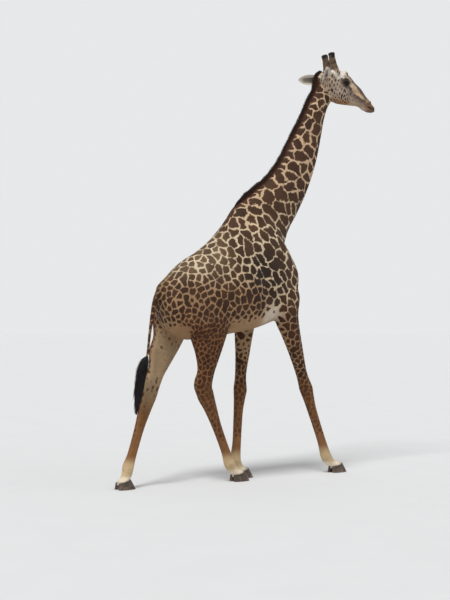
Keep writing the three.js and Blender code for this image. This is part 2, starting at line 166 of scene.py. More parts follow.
def blob(points: Array, at: Point, spread: Point, power: float = 2.0) -> Array:
    """Return 1 at a place, falling softly to 0 over the spread along each axis."""
    return np.exp(-((((points - np.array(at)) / np.array(spread)) ** 2).sum(axis=1) ** (power / 2)))


def tree_of(points: Array) -> KDTree:
    """Build a search tree.

    Args:
        points: What it holds.

    Returns:
        The tree, which finds points by their numbers.
    """
    tree = KDTree(len(points))
    for index, point in enumerate(points):
        tree.insert(point, index)
    tree.balance()
    return tree


# ---- meshes
@dataclass
class Shell:
    """Points with four-cornered and three-cornered faces."""

    points: Array
    quads: Array = field(default_factory=lambda: np.zeros((0, 4), int))
    tris: Array = field(default_factory=lambda: np.zeros((0, 3), int))

    @property
    def corners(self) -> Array:
        """Return the number of the point that each corner of the faces uses."""
        return np.concatenate([self.quads.ravel(), self.tris.ravel()])

    def __add__(self, other: "Shell") -> "Shell":
        """Return both shells as one."""
        faces = ((self.quads, other.quads), (self.tris, other.tris))
        return Shell(np.vstack([self.points, other.points]),
                     *(np.vstack([a, b + len(self.points)]) for a, b in faces))

    def moved(self, points: Array) -> "Shell":
        """Return the same faces over other points."""
        return Shell(points, self.quads, self.tris)

    def flipped(self) -> "Shell":
        """Return the shell with its faces turned over."""
        return Shell(self.points, self.quads[:, ::-1], self.tris[:, ::-1])


def belts(count: int, sides: int) -> Array:
    """Join neighbouring rings.

    Args:
        count: How many rings there are.
        sides: Points round a ring.

    Returns:
        The four-cornered faces between them.
    """
    place, start = np.arange(sides), (np.arange(count - 1) * sides)[:, None]
    after = (place + 1) % sides
    return np.stack([start + place, start + after, start + after + sides, start + place + sides],
                    -1).reshape(-1, 4)


def loft(rings: Array) -> Shell:
    """Close a row of rings into a shell.

    Args:
        rings: Points as [ring, place round it, xyz].

    Returns:
        The shell, its two ends closed by fans.
    """
    count, sides = rings.shape[:2]
    points = np.vstack([rings.reshape(-1, 3), rings[0].mean(0), rings[-1].mean(0)])
    place, last, foot = np.arange(sides), (count - 1) * sides, np.full(sides, count * sides)
    after = (place + 1) % sides
    tris = np.vstack([np.stack([after, place, foot], -1),
                      np.stack([last + place, last + after, foot + 1], -1)])
    return Shell(points, belts(count, sides), tris)


def rounds(
    tops: Array,
    bottoms: Array,
    half: Array,
    sides: int,
    egg: Array | float = 0.0,
    square: Array | float = 2.0,
    cup: Array | float = 0.0,
    across: Array = Y_AXIS,
    inset: float = 0.0,
) -> Array:
    """Make one superellipse ring between each top and bottom.

    Args:
        tops: The highest point of each ring.
        bottoms: The lowest point of each ring.
        half: Half widths.
        sides: Points round a ring.
        egg: How much wider a ring is below its middle.
        square: 2 for an ellipse, more for a squarer ring.
        cup: How far the two flanks of a ring are lifted towards its top.
        across: The sideways direction, one or one for each ring.
        inset: How far the rings are drawn in.

    Returns:
        Points as [ring, place round it, xyz].
    """
    middle, reach = (tops + bottoms)[:, None] / 2, (tops - bottoms)[:, None] / 2
    upward = unit(reach)
    reach = reach - upward * inset
    half, square, egg, cup = (np.asarray(value, float).reshape(-1, 1) for value in (half, square, egg, cup))
    c, s = np.cos(turns(sides))[None], np.sin(turns(sides))[None]
    c, s = (np.sign(v) * np.abs(v) ** (2 / square) for v in (c, s))
    sideways = np.broadcast_to(np.asarray(across, float), (len(tops), 3))[:, None]
    width = s * (half * (1 - egg * c) - inset)
    return middle + reach * c[..., None] + sideways * width[..., None] + upward * (cup * s * s)[..., None]


def rod_rings(line: Array, radii: Array, steps: int, sides: int, inset: float = 0.0) -> Array:
    """Make the rings of a tapering round rod in the mid-plane.

    Args:
        line: Points of its middle.
        radii: Its radius at each of them.
        steps: Rings from one point to the next.
        sides: Points round a ring.
        inset: How far the rings are drawn in.

    Returns:
        Points as [ring, place round it, xyz].
    """
    count = (len(line) - 1) * steps + 1
    middle, radius = through(line, count), through(np.asarray(radii, float)[:, None], count)
    way = unit(np.gradient(middle, axis=0))
    up = unit(np.cross(way, Y_AXIS))
    return rounds(middle + up * radius, middle - up * radius, radius, sides, across=np.cross(up, way),
                  inset=inset)


def make_object(name: str, shell: Shell, finish: Material | None = None, soft: bool = True) -> Piece:
    """Put a shell in the scene as an object.

    Args:
        name: The object's name.
        shell: Its points and faces.
        finish: Its material.
        soft: Whether it is shaded smoothly.

    Returns:
        The new object.
    """
    mesh = bpy.data.meshes.new(name)
    mesh.vertices.add(len(shell.points))
    mesh.vertices.foreach_set("co", shell.points.astype(np.float32).ravel())
    corners = shell.corners.astype(np.int32)
    mesh.loops.add(len(corners))
    mesh.loops.foreach_set("vertex_index", corners)
    sizes = np.repeat((4, 3), (len(shell.quads), len(shell.tris)))
    mesh.polygons.add(len(sizes))
    mesh.polygons.foreach_set("loop_start", (np.cumsum(sizes) - sizes).astype(np.int32))
    mesh.update(calc_edges=True)
    mesh.validate()
    mesh.polygons.foreach_set("use_smooth", np.full(len(mesh.polygons), soft))
    made = bpy.data.objects.new(name, mesh)
    bpy.context.collection.objects.link(made)
    if finish:
        mesh.materials.append(finish)
    return made


def put(name: str, shell: Shell, finish: Material, slot: str, *nodes: str, soft: bool = True) -> Piece:
    """Set a piece on the model.

    Args:
        name: Its name.
        shell: Its points in the body's frame, and its faces.
        finish: Its material.
        slot: The model's name for that finish; not used.
        nodes: The nodes whose place it takes.
        soft: Whether it is shaded smoothly.

    Returns:
        The piece.
    """
    piece = make_object(name, shell.moved(shell.points + SHIFT), finish, soft)
    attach(piece, "root")
    if nodes:
        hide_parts(*nodes)
    return piece


def give(piece: Piece, name: str, values: Array) -> None:
    """Store values in a piece.

    Args:
        piece: The piece.
        name: The attribute's name.
        values: One number, or one linear colour, for each point.
    """
    if values.ndim == 1:
        piece.data.attributes.new(name, "FLOAT", "POINT").data.foreach_set("value", values.astype(np.float32))
        return
    full = np.hstack([values, np.ones((len(values), 1))]).astype(np.float32)
    piece.data.attributes.new(name, "FLOAT_COLOR", "POINT").data.foreach_set("color", full.ravel())


def give_places(piece: Piece, places: Array) -> None:
    """Give a piece its bake map: one place for each corner of its faces."""
    piece.data.uv_layers.new(name="OFBake").uv.foreach_set("vector", places.astype(np.float32).ravel())


@dataclass
class Net:
    """The edges of a skin, for smoothing and for normals."""

    quads: Array
    count: int

    def __post_init__(self) -> None:
        """Collect each edge in both directions."""
        pairs = np.vstack([self.quads[:, [k, (k + 1) % 4]] for k in range(4)])
        self.ends = np.vstack([pairs, pairs[:, ::-1]])
        self.number = np.maximum(np.bincount(self.ends[:, 0], minlength=self.count), 1)

    def around(self, values: Array) -> Array:
        """Look round each point.

        Args:
            values: One row for each point.

        Returns:
            The mean of each point's neighbours.
        """
        flat = values.reshape(self.count, -1)
        sums = [np.bincount(self.ends[:, 0], flat[self.ends[:, 1], k], self.count)
                for k in range(flat.shape[1])]
        return (np.stack(sums, -1) / self.number[:, None]).reshape(values.shape)

    def relaxed(self, values: Array, weight: Array | float, times: int) -> Array:
        """Smooth values over the skin.

        Args:
            values: One row for each point.
            weight: How strongly, for all points or for each.
            times: How often.

        Returns:
            The smoothed values.
        """
        share = np.broadcast_to(np.asarray(weight, float), (self.count,))
        share = share.reshape((-1,) + (1,) * (values.ndim - 1))
        for _ in range(times):
            values = values + share * (self.around(values) - values)
        return values

    def normals(self, points: Array) -> Array:
        """Work out which way the skin faces.

        Args:
            points: The skin's points.

        Returns:
            The outward direction at each.
        """
        a, b, c, d = (points[self.quads[:, k]] for k in range(4))
        face = np.repeat(np.cross(c - a, d - b), 4, axis=0)
        return unit(np.stack([np.bincount(self.quads.ravel(), face[:, k], self.count) for k in range(3)], -1))


# ---- sizes of the flesh
@dataclass(frozen=True)
class Station:
    """A slanting slice of trunk, neck or head in the mid-plane: [x, z] on the back and on the belly."""

    back: Pair
    belly: Pair
    half: float
    egg: float = 0.0
    square: float = 2.1


TORSO: dict[str, Station] = {
    "buttock tip": Station((-1.045, 2.075), (-1.045, 1.955), 0.09, 0.0, 2.0),
    "pin bones": Station((-1.0, 2.182), (-1.015, 1.81), 0.195, 0.0, 2.0),
    "rump": Station((-0.905, 2.312), (-0.92, 1.68), 0.272, 0.05),
    "hips": Station((-0.75, 2.455), (-0.72, 1.59), 0.318, 0.15, 2.2),
    "loin": Station((-0.53, 2.588), (-0.48, 1.625), 0.335, 0.2),
    "last rib": Station((-0.35, 2.728), (-0.215, 1.648), 0.362, 0.24),
    "mid chest": Station((-0.19, 2.905), (0.06, 1.675), 0.365, 0.28),
    "girth": Station((-0.105, 3.02), (0.32, 1.742), 0.345, 0.3),
    "withers": Station((-0.05, 3.085), (0.575, 1.85), 0.318, 0.28),
    "breastbone": Station((0.005, 3.128), (0.755, 2.06), 0.29, 0.22),
    "point of chest": Station((0.07, 3.172), (0.734, 2.328), 0.24, 0.15),
    "neck root": Station((0.14, 3.222), (0.588, 2.522), 0.205, 0.08),
    "low neck": Station((0.23, 3.288), (0.644, 2.775), 0.182, 0.04),
    "lower third": Station((0.375, 3.4), (0.802, 3.03), 0.156),
    "mid neck": Station((0.562, 3.606), (0.962, 3.328), 0.136),
    "upper third": Station((0.735, 3.895), (1.098, 3.688), 0.12),
    "high neck": Station((0.868, 4.11), (1.158, 3.94), 0.111),
    "below throat": Station((0.984, 4.326), (1.208, 4.168), 0.106),
    "throat": Station((1.08, 4.492), (1.262, 4.31), 0.108),
    "in the head": Station((1.16, 4.616), (1.33, 4.4), 0.092, 0.0, 2.0),
}
SKULL: dict[str, Station] = {
    "nape": Station((-0.34, 0.062), (-0.245, -0.205), 0.086),
    "poll": Station((-0.282, 0.124), (-0.178, -0.228), 0.098, 0.0, 2.2),
    "crown": Station((-0.19, 0.156), (-0.12, -0.232), 0.106, 0.0, 2.3),
    "brow": Station((-0.09, 0.158), (-0.052, -0.25), 0.112, 0.0, 2.3),
    "eyes": Station((0.005, 0.15), (0.012, -0.257), 0.11, 0.0, 2.3),
    "below the eyes": Station((0.092, 0.096), (0.072, -0.264), 0.092, 0.0, 2.2),
    "cheek": Station((0.168, 0.022), (0.124, -0.266), 0.076, 0.0, 2.2),
    "nose bridge": Station((0.242, -0.034), (0.178, -0.266), 0.066, 0.0, 2.2),
    "nostrils": Station((0.306, -0.118), (0.228, -0.274), 0.063, 0.0, 2.3),
    "upper lip": Station((0.376, -0.184), (0.272, -0.3), 0.057, 0.0, 2.4),
    "lips": Station((0.428, -0.258), (0.33, -0.316), 0.048, 0.0, 2.3),
    "muzzle tip": Station((0.452, -0.298), (0.4, -0.322), 0.03, 0.0, 2.2),
}


def mid_plane_rings(stations: dict[str, Station], steps: int, sides: int, inset: float) -> Array:
    """Make rings through slanting stations in the mid-plane.

    Args:
        stations: The stations, in order.
        steps: Rings from one station to the next.
        sides: Points round a ring.
        inset: How far the rings are drawn in.

    Returns:
        Points as [ring, place round it, xyz].
    """
    rows = list(stations.values())
    count = (len(rows) - 1) * steps + 1
    tops = through(np.array([(s.back[0], 0.0, s.back[1]) for s in rows]), count)
    bottoms = through(np.array([(s.belly[0], 0.0, s.belly[1]) for s in rows]), count)
    shapes = through(np.array([(1000 * s.half, s.egg, s.square) for s in rows]), count)
    return rounds(tops, bottoms, shapes[:, 0] / 1000, sides, shapes[:, 1], shapes[:, 2], inset=inset)


@dataclass(frozen=True)
class Slice:
    """A slice of a limb: its two joints, the share of the way, and its reach to front, rear and side."""

    start: str
    end: str
    share: float
    front: float
    rear: float
    half: float


def slices(start: str, end: str, *rows: tuple[float, float, float, float]) -> tuple[Slice, ...]:
    """Make the slices between two joints, from rows of share, front, rear and half."""
    return tuple(Slice(start, end, *row) for row in rows)


FORELEG = (
    *slices("shoulder", "elbow", (0.0, 0.13, 0.17, 0.078), (0.45, 0.165, 0.215, 0.122)),
    *slices("elbow", "carpus", (0.0, 0.14, 0.165, 0.116), (0.22, 0.114, 0.128, 0.09),
            (0.48, 0.092, 0.098, 0.072)),
    *slices("elbow", "carpus", (0.78, 0.07, 0.076, 0.06), (1.0, 0.088, 0.076, 0.068)),
    *slices("carpus", "fetlock", (0.12, 0.076, 0.07, 0.06), (0.3, 0.058, 0.066, 0.05)),
    *slices("carpus", "fetlock", (0.75, 0.052, 0.062, 0.048), (1.0, 0.06, 0.078, 0.06)),
    *slices("fetlock", "hoof", (0.34, 0.056, 0.066, 0.058)),
)
HINDLEG = (
    *slices("hip", "stifle", (0.0, 0.24, 0.31, 0.09), (0.55, 0.245, 0.42, 0.128)),
    *slices("stifle", "hock", (0.0, 0.15, 0.4, 0.116), (0.28, 0.13, 0.318, 0.098), (0.5, 0.112, 0.205, 0.08)),
    *slices("stifle", "hock", (0.75, 0.092, 0.128, 0.064), (0.95, 0.102, 0.132, 0.066)),
    *slices("hock", "fetlock", (0.08, 0.102, 0.11, 0.066), (0.24, 0.084, 0.086, 0.056),
            (0.5, 0.058, 0.064, 0.049)),
    *slices("hock", "fetlock", (0.85, 0.053, 0.061, 0.049), (1.0, 0.06, 0.078, 0.06)),
    *slices("fetlock", "hoof", (0.34, 0.056, 0.066, 0.058)),
)
BUTTOCK = (-1.0, 0.205)  # a thigh slice stops at this x at its rear, but keeps this reach


class Part(Enum):
    """The parts of the body that the skin runs over."""

    TRUNK = 0
    NECK = 1
    HEAD = 2
    TAIL = 3
    FRONT_RIGHT = 4
    FRONT_LEFT = 5
    HIND_RIGHT = 6
    HIND_LEFT = 7


@dataclass(frozen=True)
class Foot:
    """A foot in its own frame: +X to the toe, the ground at 0, the origin under the middle of the coronet."""

    front: Pair = (0.066, 0.1)
    heel: Pair = (-0.074, 0.062)
    half: float = 0.068
    toe: float = 0.124
    back: float = -0.082
    claw_half: float = 0.039
    claw_out: float = 0.044


@dataclass(frozen=True)
class Limb:
    """One leg: its name, where its joints stand, and its slices."""

    name: str
    joints: dict[str, Point]
    slices: tuple[Slice, ...]
    foot: Foot = Foot()

    @property
    def side(self) -> Side:
        """Return the leg's side."""
        return Side[self.name.split("_")[1].upper()]

    @property
    def part(self) -> Part:
        """Return the part of the body that the leg is."""
        return Part[self.name.upper()]

    def place(self, joint: str) -> Array:
        """Return where a joint stands."""
        return np.array(self.joints[joint])

    def heading(self, start: str, end: str) -> Array:
        """Return the way from one joint to another, seen from the side."""
        return unit((self.place(end) - self.place(start)) * (1, 0, 1))

    def rings(self, steps: int, sides: int, inset: float) -> Array:
        """Make the leg's rings down to its coronet.

        Args:
            steps: Rings from one slice to the next.
            sides: Points round a ring.
            inset: How far the rings are drawn in.

        Returns:
            Points as [ring, place round it, xyz].
        """
        names, rows = list(self.joints), []
        for cut in self.slices:
            line = self.heading(cut.start, cut.end)
            before, after = names.index(cut.start) - 1, names.index(cut.end) + 1
            if cut.share == 0 and before >= 0:
                line = unit(line + self.heading(names[before], cut.start))
            if cut.share == 1 and after < len(names):
                line = unit(line + self.heading(cut.end, names[after]))
            ahead = np.array([-line[2], 0.0, line[0]])
            middle = self.place(cut.start) * (1 - cut.share) + self.place(cut.end) * cut.share
            rear = min(cut.rear, max((middle[0] - BUTTOCK[0]) / ahead[0], BUTTOCK[1]))
            rows.append((middle + ahead * cut.front, middle - ahead * rear, cut.half))
        x, y, _ = self.joints["hoof"]
        (front, top), (heel, low) = self.foot.front, self.foot.heel
        rows.append((np.array([x + front, y, top]), np.array([x + heel, y, low]), self.foot.half))
        count = (len(rows) - 1) * steps + 1
        tops, bottoms = (through(np.array([row[k] for row in rows]), count) for k in (0, 1))
        half = through(np.array([row[2] for row in rows])[:, None], count)
        return rounds(tops, bottoms, half, sides, square=2.2, inset=inset)


FORE, HIND = ("shoulder", "elbow", "carpus", "fetlock", "hoof"), ("hip", "stifle", "hock", "fetlock", "hoof")


def leg(name: str, joints: tuple[str, ...], cuts: tuple[Slice, ...], *places: Point) -> Limb:
    """Return a leg whose joints stand at these places."""
    return Limb(name, dict(zip(joints, places)), cuts)


LIMBS = (
    leg(
        "front_right", FORE, FORELEG,
        (0.52, -0.205, 2.23), (0.53, -0.205, 1.835), (0.832, -0.16, 0.992), (1.16, -0.134, 0.2),
        (1.305, -0.128, 0.0),
    ),
    leg(
        "front_left", FORE, FORELEG,
        (0.43, 0.205, 2.23), (0.235, 0.205, 1.835), (0.12, 0.16, 0.992), (0.04, 0.112, 0.2),
        (0.112, 0.098, 0.0),
    ),
    leg(
        "hind_right", HIND, HINDLEG,
        (-0.64, -0.195, 2.16), (-0.43, -0.215, 1.76), (-0.585, -0.165, 1.062), (-0.19, -0.098, 0.215),
        (-0.072, -0.088, 0.0),
    ),
    leg(
        "hind_left", HIND, HINDLEG,
        (-0.655, 0.195, 2.16), (-0.7, 0.215, 1.715), (-1.062, 0.165, 1.066), (-1.382, 0.088, 0.222),
        (-1.45, 0.076, 0.0),
    ),
)
# The model's origin lies under the middle of the whole animal; the body's frame is set forward of it.
SHIFT = (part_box("claw_front_right_left")[0][0] - LIMBS[0].joints["hoof"][0] - Foot().back) * X_AXIS


@dataclass(frozen=True)
class HeadFrame:
    """The head's own frame: +X forward, +Z up, the origin at the middle of the eyes."""

    at: Point = (1.46, -0.06, 4.61)
    turn: float = math.radians(-10)

    @property
    def basis(self) -> Array:
        """Return the rows of the frame's three directions."""
        c, s = math.cos(self.turn), math.sin(self.turn)
        return np.array([[c, s, 0.0], [-s, c, 0.0], [0.0, 0.0, 1.0]])

    def out(self, points: Array) -> Array:
        """Move points from the head's frame to the body's."""
        return self.turned(points) + np.array(self.at)

    def into(self, points: Array) -> Array:
        """Move points from the body's frame to the head's."""
        return (points - np.array(self.at)) @ self.basis.T

    def turned(self, ways: Array) -> Array:
        """Turn directions from the head's frame to the body's."""
        return ways @ self.basis

    def folded(self, points: Array) -> Array:
        """Move points from the body's frame to the head's, with its right side laid over its left one."""
        return folded(self.into(points))


def folded(points: Array) -> Array:
    """Lay the right side of a body over its left one."""
    return points * (1, 0, 1) + np.abs(points) * Y_AXIS


HEAD = HeadFrame()


@dataclass(frozen=True)
class HornForm:
    """The shape of an ossicone: where it stands, how it leans, and its [radius, share of the length]."""

    root: Point = (-0.146, 0.064, 0.096)
    lean: float = math.radians(12)
    splay: float = math.radians(5)
    length: float = 0.258
    profile: tuple[Pair, ...] = (
        (0.074, 0.0),
        (0.061, 0.2),
        (0.048, 0.42),
        (0.04, 0.66),
        (0.037, 0.8),
        (0.04, 0.885),
        (0.037, 0.945),
        (0.026, 0.985),
        (0.004, 1.0),
    )
    stem_profile: tuple[Pair, ...] = ((0.03, -0.45), (0.06, -0.15), (0.074, 0.03), (0.0615, 0.17),
                                      (0.042, 0.31))

    def placed(self, points: Array, side: Side) -> Array:
        """Stand a horn on the head.

        Args:
            points: Its points, made about its own upright axis.
            side: Its side.

        Returns:
            The points in the head's frame.
        """
        x, y, z = points.T
        c, s = math.cos(side * self.splay), math.sin(side * self.splay)
        y, z = y * c + z * s, z * c - y * s
        c, s = math.cos(self.lean), math.sin(self.lean)
        return np.stack([x * c - z * s, y, z * c + x * s], -1) + np.array(self.root) * (1, side, 1)

    def stem(self, side: Side) -> Array:
        """Return rings of the skin that runs up the foot of a horn, in the head's frame."""
        radii, shares = np.array(self.stem_profile).T
        return rod_rings(self.placed(shares[:, None] * self.length * Z_AXIS, side), radii, 8, 36)


HORN = HornForm()


@dataclass(frozen=True)
class EarForm:
    """The shape of an ear, and the turn of the left and the right one: [out from straight back, up]."""

    root: Point = (-0.288, 0.08, 0.044)
    length: float = 0.256
    half: float = 0.061
    thick: float = 0.015
    cup: float = 0.026
    turns: tuple[Pair, Pair] = ((52.0, 4.0), (68.0, 19.0))
    opens: tuple[Point, Point] = ((-0.69, -0.53, -0.25), (0.45, -0.3, -0.8))
    stem_profile: tuple[Pair, ...] = ((0.026, -0.05), (0.04, -0.015), (0.034, 0.022), (0.014, 0.058))

    def frame(self, side: Side) -> tuple[Array, Array, Array]:
        """Work out how an ear is turned.

        Args:
            side: Its side.

        Returns:
            The ways that it points, opens and spreads, in the head's frame.
        """
        own = list(Side).index(side)
        swept, rise = np.radians(self.turns[own])
        out = unit(np.array([-math.cos(swept), side * math.sin(swept), math.sin(rise)]))
        opens = unit(self.opens[own] - out * (self.opens[own] @ out))
        return out, opens, np.cross(out, opens)

    def foot(self, side: Side) -> Array:
        """Return where an ear grows from the head, in the head's frame."""
        return np.array(self.root) * (1, side, 1)

    def stem(self, side: Side) -> Array:
        """Return rings of the skin that runs out along the foot of an ear, in the head's frame."""
        radii, places = np.array(self.stem_profile).T
        return rod_rings(self.foot(side) + self.frame(side)[0] * places[:, None], radii, 8, 28)


EAR = EarForm()


@dataclass(frozen=True)
class Tail:
    """The dock of the tail, which runs on inside the tuft, and the tuft that hangs from it."""

    line: tuple[Point, ...] = (
        (-0.9, 0.0, 2.25),
        (-1.01, 0.0, 2.165),
        (-1.088, 0.0, 2.04),
        (-1.132, 0.0, 1.89),
        (-1.166, 0.0, 1.69),
        (-1.203, 0.0, 1.43),
        (-1.226, 0.0, 1.385),
    )
    radius: tuple[float, ...] = (0.06, 0.052, 0.038, 0.027, 0.02, 0.018, 0.018)
    tuft: tuple[Point, ...] = (
        (-1.206, 0.0, 1.422),
        (-1.232, 0.0, 1.375),
        (-1.272, 0.0, 1.27),
        (-1.3, 0.0, 1.11),
        (-1.322, 0.0, 0.95),
        (-1.338, 0.0, 0.8),
    )
    tuft_radius: tuple[float, ...] = (0.02, 0.05, 0.064, 0.054, 0.042, 0.012)


TAIL = Tail()


# ---- the skin's shape
@dataclass(frozen=True)
class Loupe:
    """Enlarges space round the head, so that an even mesh comes out finer there."""

    middle: Point = (1.505, -0.068, 4.53)
    radius: float = 0.46
    power: float = 3.2

    def scaled(self, points: Array, inward: bool) -> Array:
        """Move points along their rays from the middle.

        Args:
            points: The points.
            inward: Whether they are brought back.

        Returns:
            The moved points.
        """
        rays = points - np.array(self.middle)
        far = np.maximum(np.linalg.norm(rays, axis=1), 1e-9)
        extra, rim = (self.power - 1) * self.radius, self.radius * (self.power if inward else 1)
        if inward:
            near = np.where(far < rim, far / self.power, far - extra)
        else:
            near = np.where(far < rim, far * self.power, far + extra)
        return np.array(self.middle) + rays * (near / far)[:, None]


@dataclass(frozen=True)
class Swell:
    """A soft swelling of the flesh, or a hollow: where, its spread each way, and how high it rises."""

    at: Point | Array
    spread: Point
    rise: float

    def height(self, points: Array) -> Array:
        """Return how far the swelling lifts each point."""
        return self.rise * blob(points, self.at, self.spread)


@dataclass(frozen=True)
class Crease:
    """A ridge or a furrow along a line: its points, how wide it is and how high it rises."""

    line: tuple[Point | Array, ...]
    width: float
    rise: float
    flat: float = 0.0  # above 0: seen from the side, and gone this near the mid-plane

    def away(self, points: Array) -> tuple[Array, Array]:
        """Measure from the line.

        Args:
            points: Where to measure.

        Returns:
            How far each point is from the line, and its share of the way along it.
        """
        row = np.array(self.line)
        if self.flat:
            row, points = row * (1, 0, 1), points * (1, 0, 1)
        best, share = np.full(len(points), 1e9), np.zeros(len(points))
        for k in range(len(row) - 1):
            run = row[k + 1] - row[k]
            part = np.clip((points - row[k]) @ run / (run @ run), 0, 1)
            far = np.linalg.norm(points - row[k] - part[:, None] * run, axis=1)
            share = np.where(far < best, (k + part) / (len(row) - 1), share)
            best = np.minimum(far, best)
        return best, share

    def height(self, points: Array) -> Array:
        """Raise the ridge, which fades at both ends.

        Args:
            points: The points of the skin.

        Returns:
            How far it lifts each.
        """
        far, share = self.away(points)
        height = (self.rise * np.exp(-((far / self.width) ** 2))
                  * smooth(0, 0.15, share) * smooth(1, 0.85, share))
        return height * smooth(0.5 * self.flat, self.flat, np.abs(points[:, 1])) if self.flat else height


BODY_FORMS: tuple[Swell | Crease, ...] = (
    Swell((-0.545, 0.27, 2.44), (0.09, 0.1, 0.07), 0.024),  # point of the hip
    Swell((-0.34, 0.32, 2.23), (0.15, 0.15, 0.21), -0.026),  # hollow of the flank
    Swell((-0.93, 0.16, 2.19), (0.07, 0.09, 0.06), 0.016),  # pin bone
    Swell((-0.7, 0.25, 2.2), (0.11, 0.12, 0.15), 0.012),  # hip joint
    Swell((0.615, 0.235, 2.33), (0.11, 0.12, 0.12), 0.02),  # point of the shoulder
    Swell((0.33, 0.3, 2.2), (0.13, 0.15, 0.19), 0.018),  # triceps
    Swell((0.11, 0.34, 2.08), (0.08, 0.15, 0.24), -0.018),  # hollow behind the elbow
    Swell((0.15, 0.25, 2.78), (0.12, 0.15, 0.15), 0.012),  # top of the shoulder blade
    Swell((-0.08, 0.0, 3.06), (0.15, 0.12, 0.07), 0.01),  # withers
    Swell((0.74, 0.0, 2.26), (0.1, 0.06, 0.15), -0.016),  # furrow of the breast
    Swell((-0.28, 0.0, 1.64), (0.16, 0.06, 0.06), 0.024),  # sheath
    Crease(((0.09, 0.22, 2.9), (0.27, 0.28, 2.6), (0.5, 0.27, 2.38)), 0.04, 0.01),  # spine of the blade
    Crease(((-0.06, 0.25, 2.75), (0.07, 0.32, 2.45), (0.18, 0.33, 2.2)), 0.055, -0.012),  # rear of the blade
    Crease(((0.64, 0.19, 2.62), (0.72, 0.15, 2.95), (0.88, 0.11, 3.32), (1.08, 0.09, 3.8)), 0.03, -0.009),
    Crease(((0.47, 0.15, 3.0), (0.64, 0.14, 3.35), (0.88, 0.11, 3.82)), 0.045, 0.006),  # muscle of the neck
    Crease(((0.82, 0.0, 3.05), (1.0, 0.0, 3.42), (1.14, 0.0, 3.8), (1.215, 0.0, 4.17)), 0.036, 0.009),  # neck
    Crease(((-0.72, 0.33, 2.12), (-0.7, 0.34, 1.9), (-0.64, 0.32, 1.7)), 0.04, -0.008),  # back of the thigh
    Crease(((-0.42, 0.31, 1.93), (-0.33, 0.33, 2.08), (-0.24, 0.34, 2.28)), 0.035, 0.012),  # flank
    Crease(((0.25, 0.25, 1.8), (0.19, 0.31, 1.93), (0.17, 0.33, 2.08)), 0.012, -0.006),  # folds at the elbow
    Crease(((0.29, 0.25, 1.81), (0.24, 0.31, 1.94), (0.225, 0.33, 2.09)), 0.012, -0.007),
    Crease(((0.33, 0.26, 1.83), (0.295, 0.31, 1.96), (0.285, 0.33, 2.1)), 0.012, -0.006),
)
MOUTH = Crease(
    ((0.475, 0.0, -0.3), (0.44, 0.03, -0.298), (0.39, 0.05, -0.286), (0.335, 0.06, -0.268),
     (0.285, 0.06, -0.254)),
    0.0065,
    -0.013,
    0.001,
)
NOSTRIL = Crease(
    ((0.404, 0.03, -0.236), (0.398, 0.05, -0.222), (0.38, 0.055, -0.213), (0.356, 0.055, -0.208)),
    0.006, -0.014, 0.026
)
